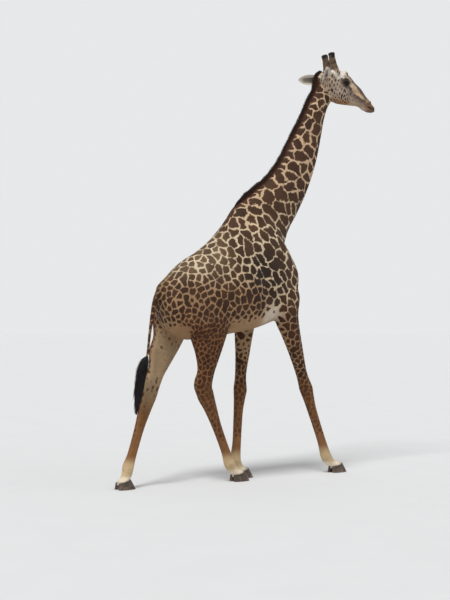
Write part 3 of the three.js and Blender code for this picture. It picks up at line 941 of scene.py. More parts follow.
HEAD_FORMS: tuple[Swell | Crease, ...] = (
    MOUTH,
    NOSTRIL,
    Swell((-0.018, 0.112, 0.042), (0.06, 0.05, 0.023), 0.021),  # rim above the eye
    Swell((-0.01, 0.104, -0.07), (0.055, 0.05, 0.017), 0.007),  # rim below it
    Swell((-0.1, 0.105, 0.035), (0.04, 0.04, 0.04), -0.012),  # hollow behind the eye
    Swell((0.068, 0.085, 0.0), (0.042, 0.04, 0.036), -0.014),  # hollow before the eye
    Swell((-0.085, 0.105, -0.145), (0.085, 0.06, 0.065), 0.018),  # cheek muscle
    Swell((0.04, 0.0, -0.262), (0.15, 0.034, 0.03), -0.016),  # between the jaw bones
    Swell((0.18, 0.07, -0.105), (0.105, 0.045, 0.03), -0.013),  # hollow beside the nose
    Swell((0.15, 0.07, -0.215), (0.08, 0.045, 0.024), -0.01),  # hollow of the cheek
    Crease(((0.035, 0.1, -0.12), (0.045, 0.09, -0.18), (0.03, 0.09, -0.235)), 0.014, -0.009, 0.03),  # cheek
    Swell((0.245, 0.06, -0.232), (0.05, 0.045, 0.022), -0.008),  # hollow of the lip corner
    Swell((0.385, 0.045, -0.196), (0.034, 0.035, 0.016), 0.009),  # wing of the nostril
    Swell((0.4, 0.045, -0.262), (0.06, 0.05, 0.022), 0.009),  # upper lip
    Swell((0.35, 0.0, -0.326), (0.05, 0.045, 0.018), 0.009),  # chin
    Crease(((0.06, 0.05, 0.06), (0.15, 0.05, -0.02), (0.26, 0.04, -0.095)), 0.012, 0.006, 0.03),  # nose bone
    Swell((-0.24, 0.09, -0.02), (0.05, 0.05, 0.06), -0.008),  # hollow below the ear
    Swell((0.29, 0.0, -0.105), (0.06, 0.04, 0.03), 0.005),  # end of the nose bone
    Crease(((0.0, 0.1, -0.085), (0.08, 0.08, -0.125), (0.18, 0.07, -0.165)), 0.014, 0.013, 0.03),  # cheek
    Crease(((-0.215, 0.09, -0.02), (-0.195, 0.1, -0.11), (-0.15, 0.1, -0.19)), 0.02, -0.01, 0.03),  # jaw
    Crease(((-0.1, 0.1, -0.222), (0.06, 0.09, -0.238), (0.22, 0.07, -0.252)), 0.016, 0.004, 0.03),  # jaw bone
    Crease(((-0.01, 0.1, -0.175), (0.11, 0.09, -0.2), (0.23, 0.07, -0.218)), 0.014, -0.006, 0.03),  # above it
    Crease(((0.045, 0.1, -0.03), (0.1, 0.09, -0.075), (0.125, 0.08, -0.105)), 0.008, 0.003, 0.03),  # vein
    Crease(((0.11, 0.09, -0.085), (0.17, 0.08, -0.11), (0.24, 0.07, -0.15)), 0.008, 0.003, 0.03),
    Crease(((0.265, 0.06, -0.24), (0.28, 0.06, -0.262), (0.275, 0.06, -0.285)), 0.007, -0.004, 0.03),  # lips
    Crease(((0.3, 0.06, -0.215), (0.35, 0.06, -0.235), (0.4, 0.05, -0.24)), 0.008, -0.004, 0.03),
    Crease(((-0.275, 0.09, -0.1), (-0.235, 0.1, -0.165), (-0.19, 0.1, -0.225)), 0.01, -0.005, 0.03),  # throat
    Crease(((-0.32, 0.09, -0.15), (-0.275, 0.1, -0.205), (-0.235, 0.1, -0.25)), 0.01, -0.004, 0.03),
)


@dataclass
class Skin:
    """The skin over the whole flesh, and what is known of each of its points."""

    coat_depth: float = 0.006
    voxel: float = 0.0125
    loupe: Loupe = Loupe()
    brow_at: Point = (0.012, 0.0, 0.116)
    brow_radii: Point = (0.07, 0.044, 0.048)

    def shells(self) -> list[tuple[Part, Array]]:
        """Make the flesh.

        Returns:
            The rings of each part of it.
        """
        torso = mid_plane_rings(TORSO, 12, 96, self.coat_depth)
        self.neck_from = list(TORSO).index("neck root") * 12 / (len(torso) - 1)
        parts = [(Part.TRUNK, torso), (Part.HEAD, HEAD.out(mid_plane_rings(SKULL, 14, 80, self.coat_depth)))]
        extra = [self.brow_horn(), *(form.stem(side) for form in (HORN, EAR) for side in Side)]
        parts += [(Part.HEAD, HEAD.out(rings)) for rings in extra]
        parts.append((Part.TAIL,
                      rod_rings(np.array(TAIL.line), np.array(TAIL.radius), 20, 24, self.coat_depth / 2)))
        return parts + [(limb.part, limb.rings(10, 48, self.coat_depth)) for limb in LIMBS]

    def brow_horn(self) -> Array:
        """Make the low boss on the forehead.

        Returns:
            Its rings, in the head's frame.
        """
        turn, spin = np.linspace(0.06, math.pi - 0.06, 24)[:, None], turns(32)[None, :]
        ball = np.stack([np.sin(turn) * np.cos(spin), np.sin(turn) * np.sin(spin),
                         np.cos(turn) + 0 * spin], -1)
        return np.array(self.brow_at) + ball * (np.array(self.brow_radii) - self.coat_depth)

    def build(self) -> None:
        """Wrap the parts in one skin, give it its forms, and note the part and normal of each point."""
        parts = self.shells()
        union = sum((loft(rings) for _, rings in parts), Shell(np.zeros((0, 3))))
        wrap = make_object("wrap", union.moved(self.loupe.scaled(union.points, False)))
        maker = wrap.modifiers.new("voxels", "REMESH")
        maker.mode = "VOXEL"
        maker.voxel_size = self.voxel
        mesh = wrap.evaluated_get(bpy.context.evaluated_depsgraph_get()).to_mesh()
        points, quads = np.empty(len(mesh.vertices) * 3, np.float32), np.empty(len(mesh.loops), np.int32)
        mesh.vertices.foreach_get("co", points)
        mesh.loops.foreach_get("vertex_index", quads)
        self.quads = quads.reshape(-1, 4).astype(int)
        self.points = self.loupe.scaled(points.reshape(-1, 3).astype(float), True)
        bpy.data.objects.remove(wrap)
        self.net = Net(self.quads, len(self.points))
        self.label(parts)
        self.shape()

    def label(self, parts: list[tuple[Part, Array]]) -> None:
        """Note for each point the part that it belongs to.

        Args:
            parts: The rings of each part.
        """
        names = np.concatenate([np.full(r.shape[0] * r.shape[1] // 4, p.value) for p, r in parts])
        shares = np.concatenate([np.repeat(np.linspace(0, 1, len(r)), r.shape[1] // 4) for _, r in parts])
        tree = tree_of(np.vstack([r[:, ::4].reshape(-1, 3) for _, r in parts]))
        found = np.array([tree.find(p)[1] for p in self.points])
        neck = (names[found] == Part.TRUNK.value) & (shares[found] > self.neck_from)
        self.part = np.where(neck, Part.NECK.value, names[found])

    def shape(self) -> None:
        """Soften where the parts meet, and raise the forms of bone and muscle."""
        border = (np.abs(self.net.around(self.part.astype(float)) - self.part) > 1e-6).astype(float)
        border *= self.part != Part.TAIL.value
        for _ in range(9):
            border = np.maximum(border, 0.93 * self.net.around(np.minimum(1.6 * border, 1.0)))
        small = np.where(np.isin(self.part, (Part.HEAD.value, Part.TAIL.value)), 0.5, 1.0)
        self.points = self.net.relaxed(self.points, 0.5 * np.clip(border, 0, 1) * small, 36)
        at_head, stems = HEAD.folded(self.points), np.zeros(len(self.points))
        roots = ((HORN.root, 0.125, 0.08), (EAR.root, 0.085, 0.045), ((0.02, 0.0, 0.09), 0.135, 0.085))
        for root, far, near in roots:
            stems = np.maximum(stems, smooth(far, near, np.linalg.norm(at_head - np.array(root), axis=1)))
        self.points = self.net.relaxed(self.points, 0.5 * stems, 10)
        self.points = self.net.relaxed(self.points, 0.3, 3)
        normals = self.net.relaxed(self.net.normals(self.points), 0.5, 6)
        at, at_head = folded(self.points), HEAD.folded(self.points)
        trunk = np.isin(self.part, (Part.TRUNK.value, Part.NECK.value)) | (at[:, 2] > 1.6)
        lift = sum(form.height(at) for form in BODY_FORMS) * trunk
        ribs = np.sin((at[:, 0] * 0.95 + at[:, 2] * 0.35) * ROUND / 0.085)
        lift += 0.0022 * ribs * blob(at, (-0.14, 0.34, 2.18), (0.2, 0.1, 0.26))
        lift += sum(form.height(at_head) for form in HEAD_FORMS) * (self.part == Part.HEAD.value)
        lift += sum(self.limb_forms(limb) for limb in LIMBS)
        self.points = self.points + unit(normals) * lift[:, None]
        self.sink_eyes()
        self.normals = self.net.normals(self.points)

    def limb_forms(self, limb: Limb) -> Array:
        """Raise the joints, tendons and bones of one leg.

        Args:
            limb: The leg.

        Returns:
            How far each point of the skin is lifted.
        """
        knee = "carpus" if "carpus" in limb.joints else "hock"
        top, bottom, way = limb.place(knee), limb.place("fetlock"), limb.heading(knee, "fetlock")
        ahead, outer = np.array([-way[2], 0.0, way[0]]), limb.side * Y_AXIS
        forms: list[Swell | Crease] = []
        for side in (Y_AXIS, -Y_AXIS):
            upper = top * 0.88 + bottom * 0.12 - ahead * 0.016 + side * 0.05
            lower = top * 0.08 + bottom * 0.92 - ahead * 0.018 + side * 0.046
            forms.append(Crease((upper, lower), 0.013, -0.0075))  # before the tendons
            forms.append(Swell(top + side * 0.062 + ahead * 0.01, (0.045, 0.03, 0.06), 0.007))
            forms.append(Swell(bottom + side * 0.055, (0.035, 0.03, 0.04), 0.005))
        if knee == "carpus":
            upper = limb.place("elbow") * 0.8 + top * 0.2 + outer * 0.09
            lower = limb.place("elbow") * 0.25 + top * 0.75 + outer * 0.055 - ahead * 0.02
            forms.append(Crease((upper, lower), 0.022, -0.006))  # between the muscles of the forearm
            forms.append(Swell(top + ahead * 0.07 + Z_AXIS * 0.01, (0.04, 0.05, 0.055), 0.006))  # kneecap
            forms.append(Swell(top - ahead * 0.08 + Z_AXIS * 0.045, (0.03, 0.03, 0.035), 0.008))  # rear bone
        else:
            above = limb.place("stifle") * 0.32 + top * 0.68 - ahead * 0.055
            forms += [Swell(above + side * 0.06, (0.045, 0.03, 0.13), -0.02) for side in (Y_AXIS, -Y_AXIS)]
            forms.append(Swell(top - ahead * 0.115 + Z_AXIS * 0.05, (0.032, 0.03, 0.045), 0.008))  # hock
            stifle = limb.place("stifle") + X_AXIS * 0.1 + outer * 0.08 + Z_AXIS * 0.03
            forms.append(Swell(stifle, (0.07, 0.06, 0.08), 0.012))
        part = self.net.relaxed((self.part == limb.part.value).astype(float), 0.5, 8)
        return part * sum(form.height(self.points) for form in forms)

    def sink_eyes(self) -> None:
        """Bulge the skin over each eyeball, and sink it behind the opening of the lids."""
        for side in Side:
            at, near = EYE.socket(HEAD.into(self.points) * (1, side, 1))
            move = (self.part == Part.HEAD.value) & near
            self.points[move] = HEAD.out(at[move] * (1, side, 1))


# ---- eyes
@dataclass(frozen=True)
class Eye:
    """An eye, in the head's frame with the left one at +Y: the ball, and the almond opening of its lids."""

    at: Point = (-0.01, 0.094, -0.012)
    radius: float = 0.033
    half_long: float = 0.0325
    upper: float = 0.0255
    lower: float = 0.0195
    slant: float = math.radians(-15)  # of the opening, its front corner down
    shell: float = 0.039  # radius of the lids over the ball

    def plane(self, points: Array) -> tuple[Array, Array]:
        """Return how far points lie along the opening and up across it."""
        x, z = points[:, 0] - self.at[0], points[:, 2] - self.at[2]
        c, s = math.cos(self.slant), math.sin(self.slant)
        return x * c + z * s, z * c - x * s

    def placed(self, along: Array, up: Array, y: Array) -> Array:
        """Return the points that lie so far along and up across the opening, at this y."""
        c, s = math.cos(self.slant), math.sin(self.slant)
        return np.stack([self.at[0] + along * c - up * s, y, self.at[2] + along * s + up * c], -1)

    def dome(self, radius: float, reach: Array) -> Array:
        """Return the y of a ball round the eye's middle, this far from its axis."""
        return self.at[1] + np.sqrt(np.maximum(radius**2 - reach**2, 0))

    def margin(self, along: Array, up: Array) -> Array:
        """Return how far inside the opening's edge a place is, below 0 outside it."""
        return np.where(up > 0, self.upper, self.lower) * (1 - (along / self.half_long) ** 2) - np.abs(up)

    def edge(self, turn: Array, out: Array) -> tuple[Array, Array]:
        """Go round the lids' opening.

        Args:
            turn: The place round it: 0 is its front corner.
            out: How far outside it.

        Returns:
            How far along the opening, and how far up across it.
        """
        c, s, height = np.cos(turn), np.sin(turn), np.where(np.sin(turn) > 0, self.upper, self.lower)
        away = unit(np.stack([c / self.half_long, s / height], -1))
        return self.half_long * c + away[..., 0] * out, height * s * np.abs(s) + away[..., 1] * out

    def socket(self, points: Array) -> tuple[Array, Array]:
        """Fit the skin round the ball.

        Args:
            points: Points in the head's frame, mirrored so that the eye lies at +Y.

        Returns:
            The points in their new places, and which of them may move.
        """
        along, up = self.plane(points)
        reach, y = np.hypot(along, up), points[:, 1]
        cover = self.dome(self.shell, reach) - 0.02 * np.maximum(reach / self.shell - 1, 0)
        blend = 0.5 * (y + cover + np.hypot(y - cover, 0.01)) - 0.0012
        raised = np.where(reach < 1.5 * self.shell, blend, y)
        sunk = smooth(-0.002, 0.003, self.margin(along, up))
        moved = points * (1, 0, 1) + (raised * (1 - sunk) + (self.at[1] - 0.004) * sunk)[:, None] * Y_AXIS
        return moved, (y > 0.055) & (reach < 0.08)


EYE = Eye()


# ---- markings
@dataclass(frozen=True)
class Daub:
    """A patch of colour on the side of the head, along a line of [x, z]: its width, colour and strength."""

    line: tuple[Pair, ...]
    width: float
    colour: Colour
    strength: float = 1.0
    plain: bool = True  # no spots show on it

    def weight(self, points: Array) -> Array:
        """Return how much of the colour each point takes."""
        far, _ = Crease(tuple((x, 0.0, z) for x, z in self.line), self.width, 1.0, 1.0).away(points)
        return self.strength * smooth(1.0, 0.3, far / self.width)


FACE: tuple[Daub, ...] = (
    Daub(((-0.1, -0.08), (0.03, -0.12)), 0.15, (166, 148, 132), 0.9, False),  # cheek
    # jaw: orange-brown, partly its own colour and partly painted light thrown up from the ground
    Daub(((-0.3, -0.19), (-0.12, -0.23), (0.05, -0.24)), 0.05, (154, 110, 70), 0.9, False),  # jaw
    Daub(((0.08, -0.245), (0.22, -0.265)), 0.044, (158, 134, 106), 0.8),  # its front half
    Daub(((0.05, -0.09), (0.14, -0.16), (0.26, -0.22)), 0.058, (128, 110, 96), 0.75, False),  # below the eye
    Daub(((0.016, 0.16), (-0.034, 0.115), (-0.062, 0.08)), 0.05, (220, 212, 200)),  # brow
    Daub(((-0.205, 0.15), (-0.18, 0.085), (-0.105, 0.043), (-0.06, 0.06)), 0.02, (228, 222, 210)),
    Daub(((0.055, -0.015), (0.149, -0.084), (0.207, -0.118), (0.285, -0.165)), 0.046, (200, 180, 150), 0.95),
    Daub(((0.105, -0.06), (0.155, -0.096), (0.235, -0.14)), 0.026, (184, 142, 100), 0.6),
    Daub(((0.052, -0.08), (0.12, -0.138), (0.222, -0.18), (0.324, -0.24)), 0.024, (86, 68, 57), 0.85),
    Daub(((0.052, 0.112), (0.126, 0.024), (0.222, -0.079), (0.328, -0.197)), 0.042, (84, 68, 58), 0.9),  # top
    Daub(((0.34, -0.235), (0.42, -0.285)), 0.098, (112, 80, 57), 0.95),  # muzzle
    Daub(((0.35, -0.175), (0.295, -0.2)), 0.03, (168, 142, 116), 0.6),
    Daub(((0.46, -0.3), (0.4, -0.29), (0.33, -0.268)), 0.013, (44, 34, 30), 0.9),  # lips
    Daub(((0.404, -0.236), (0.398, -0.222), (0.38, -0.213), (0.356, -0.208)), 0.01, (26, 20, 19), 0.95),
    Daub(((0.39, -0.335), (0.33, -0.32)), 0.036, (104, 80, 62), 0.8),  # chin
    # round the eye: dark lids and skin, widened with painted shade under the brow
    Daub(((-0.018, 0.0), (0.004, -0.012)), 0.092, (38, 31, 28), 0.95),  # round the eye
    Daub(((0.035, -0.045), (0.07, -0.08)), 0.024, (62, 50, 45), 0.8),  # tear corner
    Daub(((-0.29, 0.15), (-0.349, 0.057), (-0.44, -0.117)), 0.026, (212, 200, 180), 0.9),  # behind the poll
)


@dataclass
class Markings:
    """Dark lobed patches on a pale net: large on the neck, small on the thighs, gone above the hooves."""

    skin: Skin
    seed: int = 11
    lean: Point = (0.64, 0.0, -0.768)  # the way that the patches of the shoulder are drawn out
    shoulder: Point = (0.36, 0.0, 2.7)
    drawn: float = 0.52
    spread: float = 0.62  # of the shoulder's drawn-out patches
    joined: float = 0.07  # share of the cells that are joined to the next one

    def paint(self) -> None:
        """Work out how deep in a patch each point of the skin lies, and its colours in and out of one."""
        self.regions()
        self.widths()
        self.net_of_patches()
        self.colours()

    def regions(self) -> None:
        """Share the skin out between regions."""
        skin, facing = self.skin, self.skin.net.relaxed(self.skin.normals, 0.5, 10)
        self.p = p = skin.points
        x, y, z = p.T
        self.label = {part: skin.net.relaxed((skin.part == part.value).astype(float), 0.5, 30)
                      for part in Part}
        self.neck = smooth(2.8, 3.3, z - 0.35 * (x - 0.5))
        self.head = self.label[Part.HEAD]
        self.front = self.label[Part.FRONT_RIGHT] + self.label[Part.FRONT_LEFT]
        self.back = self.label[Part.HIND_RIGHT] + self.label[Part.HIND_LEFT]
        self.fore, self.hind = self.front * smooth(2.15, 1.75, z), self.back * smooth(2.15, 1.8, z)
        self.inner = np.zeros(len(p))
        for limb in LIMBS:
            share = 1.0 if "hip" in limb.joints else 0.55 * smooth(1.2, 1.6, z)
            self.inner += share * self.label[limb.part] * smooth(0.05, 0.75, -limb.side * facing[:, 1])
        self.inner *= smooth(2.1, 1.8, z)
        self.belly = (smooth(-0.35, -0.85, facing[:, 2]) * smooth(2.2, 1.85, z)
                      * smooth(0.95, 0.6, x) * smooth(1.3, 1.5, z))
        self.belly *= 1 - self.head
        self.armpit = (blob(folded(p), (0.27, 0.25, 1.86), (0.13, 0.15, 0.17), 3.0)
                       * smooth(0.3, 0.0, np.abs(z - 1.86)))
        self.armpit *= 1 - 0.7 * self.front * smooth(0.5, 0.7, x)
        self.girth = (blob(p * (1, 0, 1), (0.13, 0.0, 2.33), (0.34, 1.0, 0.3), 2.6)
                      * smooth(0.12, 0.24, np.abs(y)))
        self.flank = smooth(2.42, 2.08, z) * smooth(0.35, 0.0, x)
        self.rump = smooth(-0.15, -0.5, x) * smooth(2.15, 2.4, z)
        self.fade = smooth(1.2, 0.86, z) * np.maximum(self.back, 0)
        self.fade = np.maximum(self.fade, smooth(1.2, 0.8, z) * np.maximum(self.front, 0))

    def widths(self) -> None:
        """Set how wide a patch is about each point, and how thick the net between patches."""
        x, y, z = self.p.T
        shoulder = smooth(-0.15, 0.15, x) * smooth(2.15, 2.45, z) * (1 - self.neck)
        wide = np.full(len(z), 0.098)
        for width, share in (
            (0.142, self.neck),
            (0.108, smooth(3.85, 4.35, z)),
            (0.1, shoulder),
            (0.075, self.flank),
            (0.061, smooth(2.05, 1.75, z) * (self.hind + smooth(0.1, -0.2, x))),
            (0.084, self.fore),
            (0.054, smooth(1.75, 1.4, z)),
            (0.06, self.label[Part.TAIL]),
        ):
            wide += (width - wide) * share
        wide *= 1 - 0.3 * smooth(0.085, 0.02, np.abs(y)) * smooth(2.9, 3.1, z) * (self.skin.normals[:, 0] < 0)
        wide += (0.032 - wide) * self.head
        self.wide = np.clip(wide, 0.028, 0.16)
        share = (0.08 + 0.03 * smooth(0.1, 0.055, self.wide)) * (1 + 0.14 * Ripple(0.3, 44)(self.p))
        share += (0.24 - share) * self.head
        share += 0.03 * self.fade + 0.8 * smooth(0.52, 0.36, z) + 0.5 * self.belly + 0.3 * self.armpit
        self.band = self.wide * (share + 0.25 * self.inner * smooth(2.0, 1.7, z))

    def warped(self) -> Array:
        """Carry the skin into the space of the cells: squeezed along the patches' lean, and shaken.

        Returns:
            The skin's points there.
        """
        lean, away = np.array(self.lean), self.p - np.array(self.shoulder)
        along = away @ lean
        apart = np.linalg.norm(away * (1, 0, 1) - along[:, None] * lean, axis=1)
        squeeze = (self.drawn * self.spread * np.tanh(along / self.spread)
                   * np.exp(-((apart / self.spread) ** 2)))
        z = self.p[:, 2]
        upright = 0.56 * self.head * (z - HEAD.at[2]) + 0.12 * smooth(2.2, 2.0, z) * (z - 2.1)
        shake = 0.08 * shaken(self.p, 0.12, 20) + 0.028 * shaken(self.p, 0.045, 30)
        small = smooth(0.09, 0.06, self.wide)[:, None]
        shake = shake * (1 - small) + 0.05 * shaken(self.p, 0.03, 50) * small
        return self.p - squeeze[:, None] * lean - upright[:, None] * Z_AXIS + self.wide[:, None] * shake

    def seeds(self, q: Array) -> tuple[Array, Array]:
        """Scatter the middles of the cells, no two nearer than the local width allows.

        Args:
            q: The skin's points in the cells' space.

        Returns:
            The middles, and the patch that each belongs to: some patches are of two or three cells.
        """
        rng = np.random.default_rng(self.seed)
        chosen, count = np.zeros((6000, 3)), 0
        chance = np.minimum(1.0, (0.011 / self.wide) ** 2 * 90)
        order = rng.permutation(len(q))
        for index in order[rng.random(len(order)) < chance[order]]:
            away = chosen[:count] - q[index]
            if not count or ((away * away).sum(1) > (0.8 * self.wide[index]) ** 2).all():
                chosen[count] = q[index]
                count += 1
        middles, patch = chosen[:count], np.arange(count)
        tree = tree_of(middles)
        for index in rng.permutation(count)[: int(self.joined * count)]:
            other = tree.find_n(middles[index], 2)[1][1]
            if (patch == patch[other]).sum() + (patch == patch[index]).sum() < 4:
                patch[patch == patch[index]] = patch[other]
        return middles, patch

    def net_of_patches(self) -> None:
        """Measure how deep inside its patch each point lies."""
        q = self.warped()
        middles, patch = self.seeds(q)
        tree = tree_of(middles)
        near = np.array([[hit[1] for hit in tree.find_n(point, 9)] for point in q])
        far = ((q[:, None] - middles[near]) ** 2).sum(2)
        gaps = (far[:, 1:] - far[:, :1]) / (1.9 * self.wide[:, None])
        gaps = np.where(patch[near[:, 1:]] == patch[near[:, :1]], 1.0, gaps)
        soft = 0.04 * self.wide
        edge = -soft * np.log(np.exp(-gaps / soft[:, None]).sum(1))
        rough = 0.014 * Ripple(0.04, 61)(self.p) + 0.01 * Ripple(0.021, 62)(self.p)
        notch = (smooth(0.16, 0.0, np.abs(Ripple(0.11, 63)(self.p)))
                 * smooth(0.1, 0.7, Ripple(0.25, 64)(self.p)))
        self.inside = edge - self.band + self.wide * (rough + 0.01 - 0.15 * notch * (1 - self.head))
        self.tone = np.random.default_rng(self.seed + 1).uniform(-1, 1, len(middles))[patch[near[:, 0]]]

    def laid(self, base: Colour, *layers: tuple[Colour, Array | float]) -> Array:
        """Lay colours over the whole skin.

        Args:
            base: The first display colour.
            layers: Each further colour, with how much of it each point takes.

        Returns:
            The linear colour of each point.
        """
        rows = linear(base) * np.ones((len(self.p), 3))
        for colour, weight in layers:
            rows = tint(rows, colour, weight)
        return rows

    def colours(self) -> None:
        """Lay out the net's colour and the patches' colour over the body."""
        x, y, z = self.p.T
        facing = self.skin.normals[:, 0]
        ridge = smooth(0.05, 0.018, np.abs(y)) * smooth(0.2, -0.2, facing) * smooth(2.75, 2.95, z)
        tan = self.laid(
            (196, 176, 146),
            # the rump's share of this lighter net is painted sheen of light from above
            ((206, 190, 162), smooth(2.45, 2.8, z) * (1 - self.neck) + 0.7 * self.rump),
            ((194, 166, 134), self.neck),
            ((154, 122, 90), self.flank),
            ((126, 86, 54), self.hind),
            ((150, 118, 86), self.fore),
            ((122, 84, 50), smooth(1.45, 1.15, z) * self.back),
            ((126, 88, 56), smooth(1.35, 1.0, z) * self.front),
            ((158, 134, 104), self.inner * smooth(0.75, 1.1, z)),
            ((150, 118, 84), 0.9 * self.belly * smooth(0.9, 0.5, x)),
            ((200, 186, 168), self.armpit),
            ((192, 168, 130), smooth(0.36, 0.22, z)),
            ((220, 206, 182), smooth(0.16, 0.11, z)),
            ((150, 122, 86), self.label[Part.TAIL]),
            ((92, 62, 42), ridge),
        )
        dark = self.laid(
            (74, 51, 33),
            ((67, 45, 30), self.neck),
            # painted sheen of light from above: greyer, lighter patches on the rump
            ((102, 82, 60), 0.8 * self.rump),
            ((60, 39, 25), self.flank),
            ((62, 36, 20), self.hind),
            ((62, 38, 22), self.fore),
            ((32, 23, 18), 0.92 * self.girth),
            ((92, 60, 35), 0.9 * self.fade),
            ((112, 88, 64), 0.75 * self.inner * np.clip(self.back, 0, 1) * smooth(0.95, 1.25, z)),
            # painted shade: darker patches on the forward-facing front of the neck
            ((54, 37, 28), 0.75 * smooth(0.3, 0.8, facing) * self.neck * (1 - self.head)),
            ((62, 46, 38), self.head),
        )
        dark = dark * (1 + 0.2 * self.tone + 0.1 * Ripple(0.25, 71)(self.p))[:, None]
        self.patch = tint(dark, (70, 44, 30), ridge)
        tan = tan * (1 + 0.05 * Ripple(0.3, 72)(self.p) + 0.03 * Ripple(0.08, 73)(self.p))[:, None]
        tan = tint(tan, (178, 158, 138), self.head)
        at = HEAD.folded(self.p) + 0.007 * shaken(self.p, 0.045, 74) + 0.004 * shaken(self.p, 0.018, 77)
        plain = np.zeros(len(z))
        for daub in FACE:
            weight = daub.weight(at) * smooth(0.35, 0.65, self.head)
            tan = tint(tan, daub.colour, weight)
            plain = np.maximum(plain, weight * daub.plain)
        self.inside = self.inside - 0.03 * plain - 0.02 * self.head * smooth(0.06, 0.2, at[:, 0])
        self.ground = tan

    def dress(self, piece: Piece, pick: Callable[[Array], Array]) -> None:
        """Give a piece the marks of the skin, whose values `pick` takes to the piece's points."""
        for name, values in zip(MARKS, (self.ground, self.patch, self.inside, self.head)):
            give(piece, name, pick(values))


# ---- the bake map
@dataclass
class Unwrap:
    """Lays the skin out flat: each part is seen along six directions, each in its own place on the map."""

    skin: Skin
    margin: float = 0.03
    leans: tuple[float, ...] = (0.0, 0.46, 0.0, 0.0, 0.37, -0.07, 0.12, -0.42)  # of each part

    def views(self) -> list[tuple[Array, Array]]:
        """Look at each part along six directions.

        Returns:
            For each view its faces, and the flat places of their corners.
        """
        skin, found = self.skin, []
        faces = skin.points[skin.quads]
        normal = np.cross(faces[:, 2] - faces[:, 0], faces[:, 3] - faces[:, 1])
        for which in Part:
            c, s = math.cos(self.leans[which.value]), math.sin(self.leans[which.value])
            turn = np.array([[c, 0, -s], [0, 1, 0], [s, 0, c]])
            own = np.flatnonzero(skin.part[skin.quads[:, 0]] == which.value)
            local, facing = faces[own] @ turn.T, normal[own] @ turn.T
            axis = np.abs(facing).argmax(1)
            view = 2 * axis + (np.take_along_axis(facing, axis[:, None], 1)[:, 0] > 0)
            for k in np.unique(view):
                found.append((own[view == k], np.delete(local[view == k], k // 2, axis=2)))
        return found

    def lay(self) -> Array:
        """Place each face corner on the map.

        Returns:
            One place for each corner of each face.
        """
        places = np.zeros(self.skin.quads.shape + (2,))
        charts = self.views()
        sizes = [np.ptp(flat.reshape(-1, 2), axis=0) + self.margin for _, flat in charts]
        width = math.sqrt(sum(a * b for a, b in sizes)) * 1.06
        left, base, shelf = 0.0, 0.0, 0.0
        for k in sorted(range(len(charts)), key=lambda k: -sizes[k][1]):
            own, flat = charts[k]
            if left + sizes[k][0] > width:
                left, base, shelf = 0.0, base + shelf, 0.0
            places[own] = flat - flat.reshape(-1, 2).min(0) + np.array([left, base]) + self.margin / 2
            left, shelf = left + sizes[k][0], max(shelf, sizes[k][1])
        return places / max(width, base + shelf)


# ---- finishes
def paint(colour: Colour) -> tuple[float, ...]:
    """Return a display colour as a socket takes it."""
    return (*linear(colour), 1.0)


class Shader:
    """Builds one node material, step by step. What a socket gets is another socket, or a value."""

    def __init__(self, name: str) -> None:
        """Start a material.

        Args:
            name: Its name.
        """
        self.material = bpy.data.materials.new(name)
        self.material.use_nodes = True
        self.tree = self.material.node_tree
        self.surface = self.tree.nodes["Principled BSDF"]
        self.place = self.node("TexCoord").outputs["Object"]

    def feed(self, node: bpy.types.Node, values: dict[str | int, object]) -> bpy.types.Node:
        """Link or set sockets of a node.

        Args:
            node: The node.
            values: What its sockets get, by name or number; None leaves one alone.

        Returns:
            The node.
        """
        for key, value in values.items():
            if isinstance(value, Socket):
                self.tree.links.new(value, node.inputs[key])
            elif value is not None:
                node.inputs[key].default_value = value
        return node

    def node(self, kind: str, *values: object, **settings: object) -> bpy.types.Node:
        """Add a node.

        Args:
            kind: Its type.
            values: What its sockets get, in order.
            settings: Its settings.

        Returns:
            The node.
        """
        made = self.tree.nodes.new("ShaderNode" + kind)
        for name, value in settings.items():
            setattr(made, name, value)
        return self.feed(made, dict(enumerate(values)))

    def stored(self, name: str, kind: str = "Fac") -> Socket:
        """Return a number, or with "Color" a colour, stored in the mesh."""
        return self.node("Attribute", attribute_name=name).outputs[kind]

    def noise(self, scale: float, detail: float = 3.0, stretch: Point = (1.0, 1.0, 1.0),
              tilt: float = 0.0) -> Socket:
        """Make a cloudy noise, mostly 0.3 to 0.7.

        Args:
            scale: Swells to a metre.
            detail: How many finer layers.
            stretch: How much of the scale each axis takes.
            tilt: How far the axes are turned, seen from the side.

        Returns:
            Its value.
        """
        turned = self.node("Mapping", self.place, None, (0.0, tilt, 0.0)).outputs[0]
        scaled = self.node("Mapping", turned, None, None, stretch).outputs[0]
        return self.node("TexNoise", scaled, None, scale, detail).outputs["Fac"]

    def math(self, kind: str, a: object, b: object = 0.0) -> Socket:
        """Return the sum, product or the like of two values."""
        return self.node("Math", a, b, operation=kind).outputs[0]

    def ranged(self, value: object, low: float, high: float, to_low: float, to_high: float) -> Socket:
        """Return a value carried softly from one range to another."""
        return self.node("MapRange", value, low, high, to_low, to_high,
                         interpolation_type="SMOOTHSTEP").outputs[0]

    def mixed(self, share: object, a: object, b: object, blend: str = "MIX") -> Socket:
        """Return one colour blended over another by this share."""
        return self.node("Mix", share, *[None] * 5, a, b, data_type="RGBA", blend_type=blend).outputs[2]

    def shaded(self, colour: object, amount: object) -> Socket:
        """Return a colour made lighter or darker by a factor."""
        return self.mixed(1.0, colour, self.node("CombineColor", amount, amount, amount).outputs[0],
                          "MULTIPLY")

    def bumped(self, height: object, depth: float, strength: float = 1.0) -> None:
        """Roughen the surface by a height of 0 to 1 that stands for this depth in metres."""
        made = self.feed(self.node("Bump"), {"Height": height, "Distance": depth, "Strength": strength})
        self.feed(self.surface, {"Normal": made.outputs[0]})

    def finish(self, colour: object, roughness: object, sheen: float = 0.0, gloss: float = 0.25) -> Material:
        """Wire the last sockets.

        Args:
            colour: The surface's colour.
            roughness: How rough it is.
            sheen: How much soft light its hairs throw back.
            gloss: How strongly it mirrors.

        Returns:
            The material.
        """
        last = {"Base Color": colour, "Roughness": roughness, "Sheen Weight": sheen,
                "Specular IOR Level": gloss}
        self.feed(self.surface, last)
        return self.material


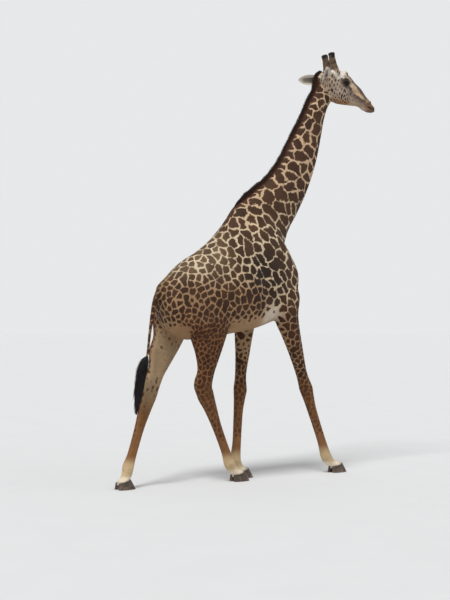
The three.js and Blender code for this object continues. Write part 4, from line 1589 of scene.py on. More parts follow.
@dataclass(frozen=True)
class CoatFinish:
    """Short flat hair in the colours of net and patch, with streaks along its lie."""

    name: str = "coat"
    streaks: float = 330.0
    face_tilt: float = math.radians(-50)  # of the streaks on the face, from upright
    bump: float = 0.0016

    def material(self) -> Material:
        """Wire the finish.

        Returns:
            Its material.
        """
        s = Shader(self.name)
        ragged = s.math("ADD", s.noise(120.0, 4.0),
                        s.math("MULTIPLY", s.noise(self.streaks, 2.0, (1.0, 1.0, 0.25)), 0.7))
        depth = s.math("ADD", s.stored("inside"), s.ranged(ragged, 0.5, 1.2, -0.0034, 0.0034))
        rim = s.ranged(s.stored("inside"), 0.002, 0.022, 1.16, 0.97)
        patch = s.shaded(s.stored("patch", "Color"), rim)
        colour = s.mixed(s.ranged(depth, -0.0016, 0.0016, 0.0, 1.0), s.stored("ground", "Color"), patch)
        down = s.noise(self.streaks, 3.0, (1.0, 1.0, 0.14))
        back = s.noise(self.streaks, 3.0, (1.0, 1.0, 0.16), self.face_tilt)
        hairs = s.mixed(s.ranged(s.stored("face"), 0.2, 0.8, 0.0, 1.0), down, back)
        colour = s.shaded(colour, s.ranged(hairs, 0.25, 0.75, 0.8, 1.18))
        colour = s.shaded(colour, s.ranged(s.noise(14.0, 4.0), 0.3, 0.7, 0.93, 1.07))
        s.bumped(s.math("ADD", hairs, s.math("MULTIPLY", s.noise(60.0, 3.0, (1.0, 1.0, 0.4)), 0.8)),
                 self.bump, 0.7)
        return s.finish(colour, s.ranged(hairs, 0.3, 0.7, 0.6, 0.78), 0.03, 0.16)


@dataclass(frozen=True)
class HairFinish:
    """Long hair that changes from root to tip, each lock a little different."""

    name: str
    root: Colour
    tip: Colour
    turn: Pair = (0.15, 0.75)
    spread: float = 0.35

    def material(self) -> Material:
        """Wire the finish.

        Returns:
            Its material.
        """
        s = Shader(self.name)
        colour = s.mixed(s.ranged(s.stored("tip"), *self.turn, 0.0, 1.0), paint(self.root), paint(self.tip))
        colour = s.shaded(colour, s.ranged(s.stored("tone"), -1.0, 1.0, 1 - self.spread, 1 + self.spread))
        fine = s.noise(700.0, 2.0, (1.0, 1.0, 0.15))
        s.bumped(fine, 0.0006, 0.6)
        return s.finish(s.shaded(colour, s.ranged(fine, 0.3, 0.7, 0.85, 1.15)),
                        s.ranged(fine, 0.3, 0.7, 0.45, 0.62))


@dataclass(frozen=True)
class EarFinish:
    """Pale hair outside the ear, and thin greyish skin inside it."""

    name: str = "ear"

    def material(self) -> Material:
        """Wire the finish.

        Returns:
            Its material.
        """
        s = Shader(self.name)
        hairs = s.noise(420.0, 3.0, (1.0, 0.3, 1.0))
        colour = s.shaded(s.stored("ground", "Color"), s.ranged(hairs, 0.3, 0.7, 0.86, 1.1))
        s.bumped(hairs, 0.0012, 0.7)
        cloudy = s.ranged(s.noise(45.0, 4.0), 0.3, 0.7, 0.9, 1.08)
        return s.finish(s.shaded(colour, cloudy), s.ranged(hairs, 0.3, 0.7, 0.62, 0.8), 0.08)


@dataclass(frozen=True)
class EyeFinish:
    """A wet dark eye: brown iris, a wide flat pupil, and a darker limbus round them."""

    name: str = "eye"
    iris: Colour = (34, 21, 14)
    pupil: Colour = (9, 8, 9)
    limbus: Colour = (66, 52, 45)

    def material(self) -> Material:
        """Wire the finish.

        Returns:
            Its material.
        """
        s = Shader(self.name)
        spokes = s.noise(260.0, 3.0)
        brown = s.shaded(paint(self.iris), s.ranged(spokes, 0.3, 0.7, 0.6, 1.5))
        colour = s.mixed(s.ranged(s.stored("pupil"), 0.92, 1.05, 1.0, 0.0), brown, paint(self.pupil))
        colour = s.mixed(s.ranged(s.stored("ring"), 0.76, 0.9, 0.0, 1.0), colour, paint(self.limbus))
        s.feed(s.surface, {"Coat Weight": 0.25, "Coat Roughness": 0.03})
        s.bumped(spokes, 0.0002, 0.2)
        return s.finish(colour, s.ranged(spokes, 0.3, 0.7, 0.1, 0.16), 0.0, 0.08)


@dataclass(frozen=True)
class HornFinish:
    """Ossicone skin: short brown hair up the shaft and a worn dark knob."""

    name: str = "ossicone"
    low: Colour = (150, 128, 104)
    shaft: Colour = (104, 84, 64)
    knob: Colour = (27, 23, 23)

    def material(self) -> Material:
        """Wire the finish.

        Returns:
            Its material.
        """
        s = Shader(self.name)
        uneven = s.math("ADD", s.stored("height"), s.ranged(s.noise(40.0, 4.0), 0.3, 0.7, -0.06, 0.06))
        hairs = s.noise(420.0, 3.0, (1.0, 1.0, 0.12))
        colour = s.mixed(s.ranged(uneven, 0.05, 0.38, 0.0, 1.0), paint(self.low), paint(self.shaft))
        colour = s.mixed(s.ranged(uneven, 0.76, 0.88, 0.0, 1.0), colour, paint(self.knob))
        wear = s.math("MULTIPLY", s.ranged(uneven, 0.9, 0.99, 0.0, 1.0), 0.22)
        s.bumped(s.math("ADD", hairs, s.math("MULTIPLY", s.noise(70.0, 4.0), 0.9)), 0.0022, 0.8)
        rough = s.math("SUBTRACT", s.ranged(hairs, 0.3, 0.7, 0.62, 0.8), wear)
        return s.finish(s.shaded(colour, s.ranged(hairs, 0.25, 0.75, 0.7, 1.25)), rough)


@dataclass(frozen=True)
class HoofFinish:
    """Dark horn with growth rings, fine grain and dust on the walls near the ground."""

    name: str = "hoof"
    horn: Colour = (58, 49, 44)
    dust: Colour = (126, 108, 92)

    def material(self) -> Material:
        """Wire the finish.

        Returns:
            Its material.
        """
        s = Shader(self.name)
        uneven = s.math("ADD", s.stored("height"), s.math("MULTIPLY", s.noise(18.0, 3.0), 0.1))
        rings = s.ranged(s.math("SINE", s.math("MULTIPLY", uneven, 62.0)), -1.0, 1.0, 0.0, 1.0)
        grain = s.noise(260.0, 4.0, (1.0, 1.0, 0.12))
        colour = s.shaded(paint(self.horn), s.ranged(grain, 0.25, 0.75, 0.7, 1.35))
        colour = s.shaded(colour, s.ranged(rings, 0.0, 1.0, 0.84, 1.12))
        low = s.ranged(s.stored("height"), 0.0, 0.75, 0.9, 0.3)
        dusty = s.math("MULTIPLY", s.ranged(s.noise(30.0, 5.0), 0.4, 0.62, 0.15, 0.85), low)
        s.bumped(s.math("ADD", s.math("MULTIPLY", rings, 0.8), grain), 0.0014, 0.8)
        return s.finish(s.mixed(dusty, colour, paint(self.dust)), s.ranged(grain, 0.3, 0.7, 0.42, 0.66))


# ---- hair
@dataclass
class Locks:
    """Many thin tapering locks, each a closed three-sided spike that bends on its way."""

    roots: Array
    ways: Array
    bends: Array  # how far the tip is carried aside from a straight lock
    long: Array
    wide: Array
    steps: int = 4

    @property
    def points_each(self) -> int:
        """Return how many points a lock has."""
        return 3 * self.steps + 1

    def shell(self) -> tuple[Shell, Array]:
        """Build every lock.

        Returns:
            The locks as one shell, and each point's share of the way to the tip.
        """
        count, steps, top = len(self.roots), self.steps, 3 * (self.steps - 1)
        share = np.linspace(0, 1, steps + 1)[None, :, None]
        run, bend = self.ways[:, None] * self.long[:, None, None], self.bends[:, None]
        middle = self.roots[:, None] + run * share + bend * share**2
        way = unit(run + 2 * bend * share)
        aside = unit(np.cross(way, np.array([0.31, 0.18, 0.93]) + 0 * way))
        other = 0.5 * np.cross(way, aside)
        girth = self.wide[:, None, None] / 2 * np.sqrt(np.maximum(1 - share, 0))
        ring = [middle + girth * (math.cos(a) * aside + math.sin(a) * other) for a in turns(3)]
        body = np.stack(ring, 2)[:, :steps].reshape(count, steps * 3, 3)
        tris = [(0, 2, 1)]
        for k in range(0, top, 3):
            for a, b in ((k, k + 1), (k + 1, k + 2), (k + 2, k)):
                tris += [(a, b, a + 3), (b, b + 3, a + 3)]
        tris += [(top + i, top + (i + 1) % 3, top + 3) for i in range(3)]
        faces = np.array(tris)[None] + (np.arange(count) * self.points_each)[:, None, None]
        points = np.concatenate([body, middle[:, -1:]], 1).reshape(-1, 3)
        to_tip = np.append(np.repeat(share[0, :steps, 0], 3), 1.0)
        return Shell(points, tris=faces.reshape(-1, 3)), np.tile(to_tip, count)


def in_head(roots: Array, ways: Array, bends: Array, long: Array, wide: Array, steps: int = 4) -> Locks:
    """Return locks given in the head's frame."""
    return Locks(HEAD.out(roots), HEAD.turned(ways), HEAD.turned(bends), long, wide, steps)


@dataclass
class Hair:
    """What pieces of long hair have in common: their material, and the model's name for it."""

    finish: Material
    slot: str
    patch: float = 0.003  # how wide each lock's patch is on the bake map

    def build(self, name: str, locks: Locks, tone: Array, places: Array, *nodes: str) -> Piece:
        """Make one piece of hair.

        Args:
            name: Its name.
            locks: Its locks.
            tone: How light each lock is, from -1 to 1.
            places: Where each lock lies on the bake map.
            nodes: The nodes whose place it takes.

        Returns:
            The piece.
        """
        shell, to_tip = locks.shell()
        piece, each = put(name, shell, self.finish, self.slot, *nodes), locks.points_each
        give(piece, "tip", to_tip)
        give(piece, "tone", np.repeat(tone, each))
        owner, local = np.divmod(shell.corners, each)
        spots = np.stack([np.where(local == each - 1, 0.0, local % 3 - 1.0) * 0.5, to_tip[local] - 0.5], -1)
        give_places(piece, places[owner] + spots * self.patch)
        return piece

    def core(self, name: str, rings: Array, tip: Array | float, tone: float) -> Piece:
        """Make the solid core under the locks.

        Args:
            name: Its name.
            rings: Its rings.
            tip: What share of the way to the tip its points stand for.
            tone: How light it is.

        Returns:
            The piece.
        """
        shell = loft(rings)
        piece = put(name, shell, self.finish, self.slot)
        give(piece, "tip", np.zeros(len(shell.points)) + tip)
        give(piece, "tone", np.full(len(shell.points), tone))
        return piece


# ---- the pieces
@dataclass
class Body:
    """The dressed skin, which the other pieces are set on."""

    skin: Skin
    marks: Markings
    finish: Material

    def build(self) -> Piece:
        """Build the skin's object.

        Returns:
            The piece, with its marks and its bake map.
        """
        nodes = ("trunk", "neck", "head", "tail", *(f"leg_{limb.name}" for limb in LIMBS))
        piece = put("skin", Shell(self.skin.points, self.skin.quads), self.finish, "coat", *nodes)
        self.marks.dress(piece, lambda values: values)
        self.places = Unwrap(self.skin).lay()
        give_places(piece, self.places)
        return piece

    def lie(self) -> Array:
        """Lay the coat.

        Returns:
            The way that it lies at each point of the skin, along its surface.
        """
        skin, marks = self.skin, self.marks
        ways = np.tile(np.array([-0.75, 0.0, -0.65]), (len(skin.points), 1))
        limbs = np.clip(marks.front + marks.back + marks.label[Part.TAIL], 0, 1)
        back = HEAD.turned(np.array([-0.85, 0.0, 0.35]))
        for way, share in (((-0.5, 0.0, -0.86), marks.neck), ((-0.1, 0.0, -0.99), limbs), (back, marks.head)):
            ways += (np.array(way) - ways) * share[:, None]
        ways = unit(ways) + 0.16 * shaken(skin.points, 0.22, 80)
        return unit(ways - (ways * skin.normals).sum(1, keepdims=True) * skin.normals)


@dataclass
class Coat:
    """Short tufts over the skin: thin, overlapping, lying along the body, smallest on face and feet."""

    body: Body
    seed: int = 300
    each: int = 42000  # tufts to a piece
    patch: float = 0.003  # how wide each tuft's patch is on the bake map

    def areas(self) -> dict[str, Array]:
        """Share the coat out between its pieces.

        Returns:
            How thickly each face of the skin bears the tufts of each piece.
        """
        marks, quads = self.body.marks, self.body.skin.quads
        shares = {
            "coat_trunk": marks.label[Part.TRUNK],
            "coat_neck": marks.label[Part.NECK],
            "coat_head": marks.head,
            "coat_forelegs": marks.front,
            "coat_hindlegs": marks.back + marks.label[Part.TAIL],
        }
        covered = self.bare()[quads].max(1) < 0.5
        return {name: share[quads].mean(1) * covered for name, share in shares.items()}

    def bare(self) -> Array:
        """Find the lips, the nostrils and the eyes' openings.

        Returns:
            1 for each point there, which bears no tufts, and 0 elsewhere.
        """
        at = HEAD.folded(self.body.skin.points)
        eye = (EYE.margin(*EYE.plane(at)) > -0.004) & (at[:, 1] > 0.05)
        slit = (MOUTH.away(at)[0] < 0.012) | (NOSTRIL.away(at)[0] < 0.012)
        return ((eye | slit) & (self.body.skin.part == Part.HEAD.value)).astype(float)

    def build(self) -> list[Piece]:
        """Build the coat.

        Returns:
            Its pieces.
        """
        skin, marks = self.body.skin, self.body.marks
        corners = skin.points[skin.quads]
        size = np.linalg.norm(np.cross(corners[:, 2] - corners[:, 0], corners[:, 3] - corners[:, 1]),
                              axis=1) / 2
        long = 0.014 - 0.003 * np.clip(marks.fore + marks.hind, 0, 1) + 0.005 * marks.belly
        long, lie = long + (0.007 - long) * marks.head, self.body.lie()
        made = []
        for index, (name, share) in enumerate(self.areas().items()):
            rng = np.random.default_rng(self.seed + index)
            made.append(self.tufts(name, size * share / long[skin.quads[:, 0]], long, lie, rng))
        return made

    def tufts(self, name: str, chance: Array, long: Array, lie: Array, rng: np.random.Generator) -> Piece:
        """Build one piece of the coat.

        Args:
            name: Its name.
            chance: How thickly each face of the skin bears tufts.
            long: How long they are at each point of the skin.
            lie: The way that they lie there.
            rng: What draws them.

        Returns:
            The piece.
        """
        skin, marks = self.body.skin, self.body.marks
        count = self.each
        face = rng.choice(len(chance), count, p=chance / chance.sum())
        u, v = rng.random(count), rng.random(count)
        weight, own = np.stack([(1 - u) * (1 - v), u * (1 - v), u * v, (1 - u) * v], -1), skin.quads[face]

        def pick(values: Array) -> Array:
            """Return a value of the skin at each root."""
            return np.einsum("ij,ij...->i...", weight, values[own])

        root, normal, way = pick(skin.points), unit(pick(skin.normals)), unit(pick(lie))
        length = (pick(long) * rng.uniform(0.7, 1.25, count))[:, None]
        half = np.cross(normal, way) * length * rng.uniform(0.16, 0.26, count)[:, None] / 2
        rise = (rng.uniform(0.06, 0.16, count) * (1 - 0.6 * pick(marks.head)))[:, None]
        foot = root - normal * 0.0008
        ridge = root + (0.035 * normal + 0.25 * way) * length
        tip = root + (way + normal * rise) * length * 0.96
        tuft = np.stack([foot - half, foot + half, ridge, tip], 1).reshape(-1, 3)
        faces = (np.array([(0, 3, 2), (3, 1, 2), (0, 1, 3), (1, 0, 2)])[None]
                 + (np.arange(count) * 4)[:, None, None])
        shell = Shell(tuft, tris=faces.reshape(-1, 3))
        piece = put(name, shell, self.body.finish, "coat", soft=False)
        marks.dress(piece, lambda values: np.repeat(pick(values), 4, axis=0))
        where = np.einsum("ij,ijk->ik", weight, self.body.places[face])
        spots = np.array([(-0.5, -0.5), (0.5, -0.5), (0.0, 0.0), (0.0, 0.5)]) * self.patch
        give_places(piece, where[shell.corners // 4] + spots[shell.corners % 4])
        return piece


@dataclass
class Eyes:
    """Both eyes: glossy balls in their sockets, lids with a fold over them, and long upper lashes."""

    body: Body
    ball_finish: Material
    lashes: Hair
    rim: Colour = (24, 20, 20)  # of the lids' margin
    seed: int = 40
    count: int = 120  # lashes to an eye
    outs: tuple[float, ...] = (-0.003, -0.0006, 0.0004, 0.0022, 0.0045, 0.007, 0.01, 0.013, 0.016, 0.0195,
                               0.023)

    def build(self) -> list[Piece]:
        """Build both eyes, and return their pieces."""
        return [make(side) for side in Side for make in (self.ball, self.lids, self.lash_hair)]

    def ball(self, side: Side) -> Piece:
        """Build one eyeball, its pupil a level bar along the opening of the lids.

        Args:
            side: Its side.

        Returns:
            The piece.
        """
        turn, spin = np.linspace(0.02, math.pi - 0.02, 40)[:, None], turns(64)[None, :]
        ball = np.stack([np.sin(turn) * np.cos(spin), np.cos(turn) + 0 * spin,
                         np.sin(turn) * np.sin(spin)], -1)
        cornea = 1 + 0.05 * smooth(0.6, 0.2, np.sin(turn)) * (np.cos(turn) > 0)
        shell = loft(ball * EYE.radius * cornea[..., None])
        at = shell.points + np.array(EYE.at)
        along, up = (away / EYE.radius for away in EYE.plane(at))
        shell, front = shell.moved(HEAD.out(at * (1, side, 1))), shell.points[:, 1] > 0
        piece = put(f"eyeball_{side.word}", shell, self.ball_finish, "eye", f"eye_{side.word}")
        give(piece, "pupil", np.where(front, np.hypot(along / 0.52, up / 0.3), 2.0))
        give(piece, "ring", np.where(front, np.hypot(along, up), 1.0))
        return piece

    def lids(self, side: Side) -> Piece:
        """Build the lids: a rolled margin on the ball, a fold above it, and an outer edge under the skin.

        Args:
            side: Their side.

        Returns:
            The piece.
        """
        skin, marks, sides = self.body.skin, self.body.marks, 96
        turn, out = np.tile(turns(sides), len(self.outs)), np.repeat(self.outs, sides)
        along, up = EYE.edge(turn, out)
        at = HEAD.into(skin.points) * (1, side, 1)
        flat = np.stack([*EYE.plane(at), np.zeros(len(at))], -1)
        near = np.flatnonzero((np.hypot(*flat.T[:2]) < 0.085) & (at[:, 1] > 0.055)
                              & (skin.part == Part.HEAD.value))
        tree = tree_of(flat[near])
        hits = [tree.find_n((a, b, 0.0), 4) for a, b in zip(along, up)]
        index = near[np.array([[hit[1] for hit in row] for row in hits])]
        weight = 1.0 / (np.array([[hit[2] for hit in row] for row in hits]) + 1e-4)
        weight /= weight.sum(1, keepdims=True)

        def pick(values: Array) -> Array:
            """Return a value of the skin beside each point of the lids."""
            return np.einsum("ij,ij...->i...", weight, values[index])

        reach = np.hypot(along, up)
        ball, shell = EYE.dome(EYE.radius, reach), EYE.dome(EYE.shell + 0.0012, reach)
        fold = (0.0016 * np.exp(-(((out - 0.0115) / 0.0028) ** 2))
                - 0.002 * np.exp(-(((out - 0.007) / 0.0022) ** 2)))
        join = smooth(0.004, 0.019, out)
        outer = (shell + fold * (np.sin(turn) > -0.2)) * (1 - join) + (pick(at[:, 1]) + 0.0006) * join
        outer = np.maximum(outer, EYE.at[1]) - 0.0035 * smooth(0.017, 0.023, out)
        y = np.select([out < -0.002, out < 0], [ball - 0.001, ball + 0.0022], outer)
        made = Shell(HEAD.out(EYE.placed(along, up, y) * (1, side, 1)), belts(len(self.outs), sides))
        piece = put(f"lids_{side.word}", made if side > 0 else made.flipped(), self.body.finish, "coat")
        margin = 0.9 * smooth(0.008, 0.001, out)
        ground, patch = (tint(pick(colour), self.rim, margin) for colour in (marks.ground, marks.patch))
        for mark, values in zip(MARKS, (ground, patch, pick(marks.inside), np.ones(len(out)))):
            give(piece, mark, values)
        return piece

    def lash_hair(self, side: Side) -> Piece:
        """Build the lashes of the upper lid, longest at its middle.

        Args:
            side: Their side.

        Returns:
            The piece.
        """
        rng, count, flip = np.random.default_rng(self.seed), self.count, (1, side, 1)
        turn = rng.uniform(0.1, 0.92, count) * math.pi
        along, up = EYE.edge(turn, rng.uniform(0.0, 0.0015, count))
        roots = EYE.placed(along, up, EYE.dome(EYE.shell, np.hypot(along, up)) - 0.001)
        fan = along / EYE.half_long
        ways = unit(np.stack([0.55 * fan + 0.15, np.full(count, 0.85),
                              -0.3 + 0.1 * rng.normal(size=count)], -1))
        long = (0.022 + 0.02 * np.sin(turn)) * rng.uniform(0.8, 1.1, count)
        bends = np.stack([0.006 * fan, 0 * fan, np.full(count, 0.01)], -1)
        locks = in_head(roots * flip, ways * flip, bends * flip, long, np.full(count, 0.0011))
        places = np.stack([turn / math.pi, np.full(count, 0.5)], -1)
        return self.lashes.build(f"lashes_{side.word}", locks, rng.uniform(-1, 1, count), places)


@dataclass
class Ears:
    """Leaf-shaped cupped ears, pale outside and grey within, with a fringe along the inner rim."""

    finish: Material
    hair: Hair
    seed: int = 60
    count: int = 700  # hairs to a fringe

    def build(self) -> list[Piece]:
        """Build both ears, and return their pieces."""
        return [make(side) for side in Side for make in (self.leaf, self.fringe)]

    def widths(self, share: Array) -> Array:
        """Return the half width of the ear at each share of its length."""
        return EAR.half * np.sin(math.pi * np.minimum(1, 0.24 + 0.76 * share)) ** 0.75 + 0.004

    def leaf(self, side: Side) -> Piece:
        """Build one ear.

        Args:
            side: Its side.

        Returns:
            The piece.
        """
        out, opens, across = EAR.frame(side)
        share, sides = np.linspace(0, 0.985, 44), 56
        wide, thick = self.widths(share), EAR.thick * (1.6 + (0.42 - 1.6) * share)[:, None]
        middle = EAR.foot(side) + out * (share * EAR.length)[:, None]
        middle = middle + opens * (0.006 * np.sin(share * math.pi))[:, None]
        cup = EAR.cup * (wide / EAR.half) * (1 + 0.25 * np.sin(share * 5))
        half = opens * thick / 2
        shell = loft(rounds(middle + half, middle - half, wide - 0.002, sides, cup=cup, across=across))
        shell = shell.moved(HEAD.out(shell.points))
        piece = put(f"ear_skin_{side.word}", shell, self.finish, "ear_hair", f"ear_{side.word}")
        turn = turns(sides)
        within = smooth(0.1, 0.45, np.cos(turn)) * smooth(0.72, 0.42, np.abs(np.sin(turn) + 0.12))
        inner = 0.9 * np.append(np.tile(within, len(share)), (0.0, 0.0))
        along = np.append(np.repeat(share, sides), (0.0, 1.0))
        colours = np.ones((len(along), 3)) * linear((226, 219, 206))
        colours = tint(colours, (204, 190, 168), smooth(0.35, 0.0, along))
        colours = tint(colours, (122, 108, 96), inner * smooth(0.9, 0.66, along))
        give(piece, "ground", tint(colours, (46, 37, 33), inner * smooth(0.6, 0.1, along)))
        return piece

    def fringe(self, side: Side) -> Piece:
        """Build the pale hairs that stand inward from the rims of one ear.

        Args:
            side: Its side.

        Returns:
            The piece.
        """
        rng, count, (out, opens, across) = np.random.default_rng(self.seed), self.count, EAR.frame(side)
        share, rim = rng.uniform(0.12, 0.93, count), rng.choice((-1.0, 1.0), count)
        wide = self.widths(share) * rng.uniform(0.86, 0.99, count)
        lift = EAR.cup * (self.widths(share) / EAR.half) * (wide / self.widths(share)) ** 2
        roots = EAR.foot(side) + out * (share * EAR.length)[:, None] + across * (rim * wide)[:, None]
        roots = roots + opens * (lift + 0.002)[:, None]
        ways = unit(-across * (rim * 0.75)[:, None] + opens * 0.55
                    + out * rng.uniform(0.2, 0.7, count)[:, None])
        bends = opens * -0.004 + out * rng.uniform(0.0, 0.006, count)[:, None]
        locks = in_head(roots, ways, bends, rng.uniform(0.018, 0.036, count), np.full(count, 0.0017), 3)
        places = np.stack([share, 0.5 + 0.4 * rim * wide / EAR.half], -1)
        return self.hair.build(f"ear_fringe_{side.word}", locks, rng.uniform(-1, 1, count), places)


@dataclass
class Ossicones:
    """Two blunt horns covered with skin, knobbed at their tips, with dark hair round the knobs."""

    finish: Material
    hair: Hair
    seed: int = 70
    count: int = 5200  # hairs to a horn

    def build(self) -> list[Piece]:
        """Build both ossicones, and return their pieces."""
        return [make(side) for side in Side for make in (self.horn, self.tassel)]

    @property
    def line(self) -> Array:
        """Return the horn's radius at shares of its length, above the fur round its foot."""
        line = through(np.array(HORN.profile), 49)
        return line[line[:, 1] > 0.13]

    def horn(self, side: Side) -> Piece:
        """Build one ossicone.

        Args:
            side: Its side.

        Returns:
            The piece.
        """
        turn, wide, high = turns(48), self.line[:, :1], self.line[:, 1:] * HORN.length
        shell = loft(np.stack([wide * np.cos(turn), wide * np.sin(turn), high + 0 * turn], -1))
        points = HORN.placed(shell.points, side)
        out = unit(points - HORN.placed(shell.points * Z_AXIS, side) + 1e-6)
        points = HEAD.out(points + out * (0.0016 * Ripple(0.045, 90)(points) - 0.0022)[:, None])
        piece = put(f"ossicone_skin_{side.word}", shell.moved(points), self.finish, "horn",
                    f"ossicone_{side.word}")
        give(piece, "height", shell.points[:, 2] / HORN.length)
        return piece

    def tassel(self, side: Side) -> Piece:
        """Build the short dark hairs round one knob, and finer ones down the shaft.

        Args:
            side: Its side.

        Returns:
            The piece.
        """
        rng, count = np.random.default_rng(self.seed), self.count
        share, turn = rng.uniform(0.16, 0.93, count), rng.uniform(0, ROUND, count)
        out = np.stack([np.cos(turn), np.sin(turn), 0 * turn], -1)
        radius = np.interp(share, self.line[:, 1], self.line[:, 0]) - 0.003
        roots = out * radius[:, None] + Z_AXIS * (share * HORN.length)[:, None]
        long = rng.uniform(0.006, 0.011, count) + 0.004 * (share > 0.74)
        long = np.minimum(long, (1.0 - share) * HORN.length * 1.1 + 0.004)
        tips = HORN.placed(roots + unit(0.16 * out + Z_AXIS) * long[:, None], side)
        roots = HORN.placed(roots, side)
        locks = in_head(roots, unit(tips - roots), np.zeros((count, 3)), long, np.full(count, 0.0012), 2)
        tone = np.clip(smooth(0.86, 0.55, share) * 1.6 - 1, -1, 1) + 0.25 * rng.uniform(-1, 1, count)
        return self.hair.build(f"ossicone_hair_{side.word}", locks, tone, np.stack([turn / ROUND, share], -1))


@dataclass
class Hooves:
    """Two claws to each foot, with ringed walls, a worn toe and the cleft between them."""

    finish: Material
    hair: Hair
    foot: Foot = Foot()
    seed: int = 110
    count: int = 900  # hairs to a coronet

    def build(self) -> list[Piece]:
        """Build every foot: the claws, and the hair that falls over each coronet."""
        feet = [(*(self.claw(limb, side) for side in Side), self.coronet_hair(limb)) for limb in LIMBS]
        return [piece for foot in feet for piece in foot]

    def claw(self, limb: Limb, side: Side) -> Piece:
        """Build one claw: rings from the flat sole up to the slanting coronet.

        Args:
            limb: Its leg.
            side: Its side of the foot.

        Returns:
            The piece.
        """
        foot, (x, y, _), turn = self.foot, limb.joints["hoof"], turns(44)[None, :]
        slope = (foot.front[1] - foot.heel[1]) / (foot.front[0] - foot.heel[0])
        level = np.array([0.0, 0.02, 0.06, *np.linspace(0.12, 1.0, 22)])[:, None]
        share = np.where(level < 0.1, 0.03 * level / 0.1, level) - 0.02 * smooth(0.05, 0.0, level)
        front = foot.toe + (foot.front[0] - foot.toe) * share
        rear = foot.back + (foot.heel[0] - foot.back) * share
        half = foot.claw_half + (foot.half / 2 - 0.001 - foot.claw_half) * share
        out = foot.claw_out + (foot.half / 2 + 0.002 - foot.claw_out) * share
        c, s = (np.sign(v) * np.abs(v) ** 0.8 for v in (np.cos(turn), np.sin(turn)))
        toe_in = 1 - 0.3 * np.maximum(0, c) ** 2
        rings = 1 + 0.006 * np.sin(level * 40) * smooth(0.05, 0.2, level)
        ahead = (front + rear) / 2 + (front - rear) / 2 * c * rings
        across = out + half * s * rings * np.where(s > 0, toe_in, 1) - half * (1 - toe_in) * 0.5
        across = np.maximum(across, 0.0035)
        top = foot.heel[1] + slope * (ahead - foot.heel[0]) + 0.006
        shell = loft(np.stack([x + ahead, y + side * across, level * top], -1))
        name, shell = f"{limb.name}_{side.word}", shell if side > 0 else shell.flipped()
        piece = put(f"hoof_{name}", shell, self.finish, "claw", f"claw_{name}")
        give(piece, "height", np.clip(shell.points[:, 2] / foot.front[1], 0, 1))
        return piece

    def coronet_hair(self, limb: Limb) -> Piece:
        """Build the pale hair that falls over one coronet.

        Args:
            limb: Its leg.

        Returns:
            The piece.
        """
        rng, count, foot = np.random.default_rng(self.seed), self.count, self.foot
        x, y, _ = limb.joints["hoof"]
        turn = rng.uniform(0, ROUND, count)
        c, s = np.cos(turn), np.sin(turn)
        middle, long = (foot.front[0] + foot.heel[0]) / 2, (foot.front[0] - foot.heel[0]) / 2
        up = foot.heel[1] + (middle + long * c - foot.heel[0]) * 0.27
        out = np.stack([c, s, 0 * turn], -1)
        roots = np.stack([x + middle + (long - 0.006) * c, y + (foot.half - 0.006) * s, up], -1)
        roots = roots + Z_AXIS * rng.uniform(0.0, 0.018, count)[:, None]
        long = rng.uniform(0.014, 0.026, count)
        locks = Locks(roots, unit(0.35 * out - Z_AXIS), out * -0.003, long, np.full(count, 0.0028), 3)
        places = np.stack([turn / 6.3, up * 3], -1)
        return self.hair.build(f"coronet_hair_{limb.name}", locks, rng.uniform(-1, 1, count), places)


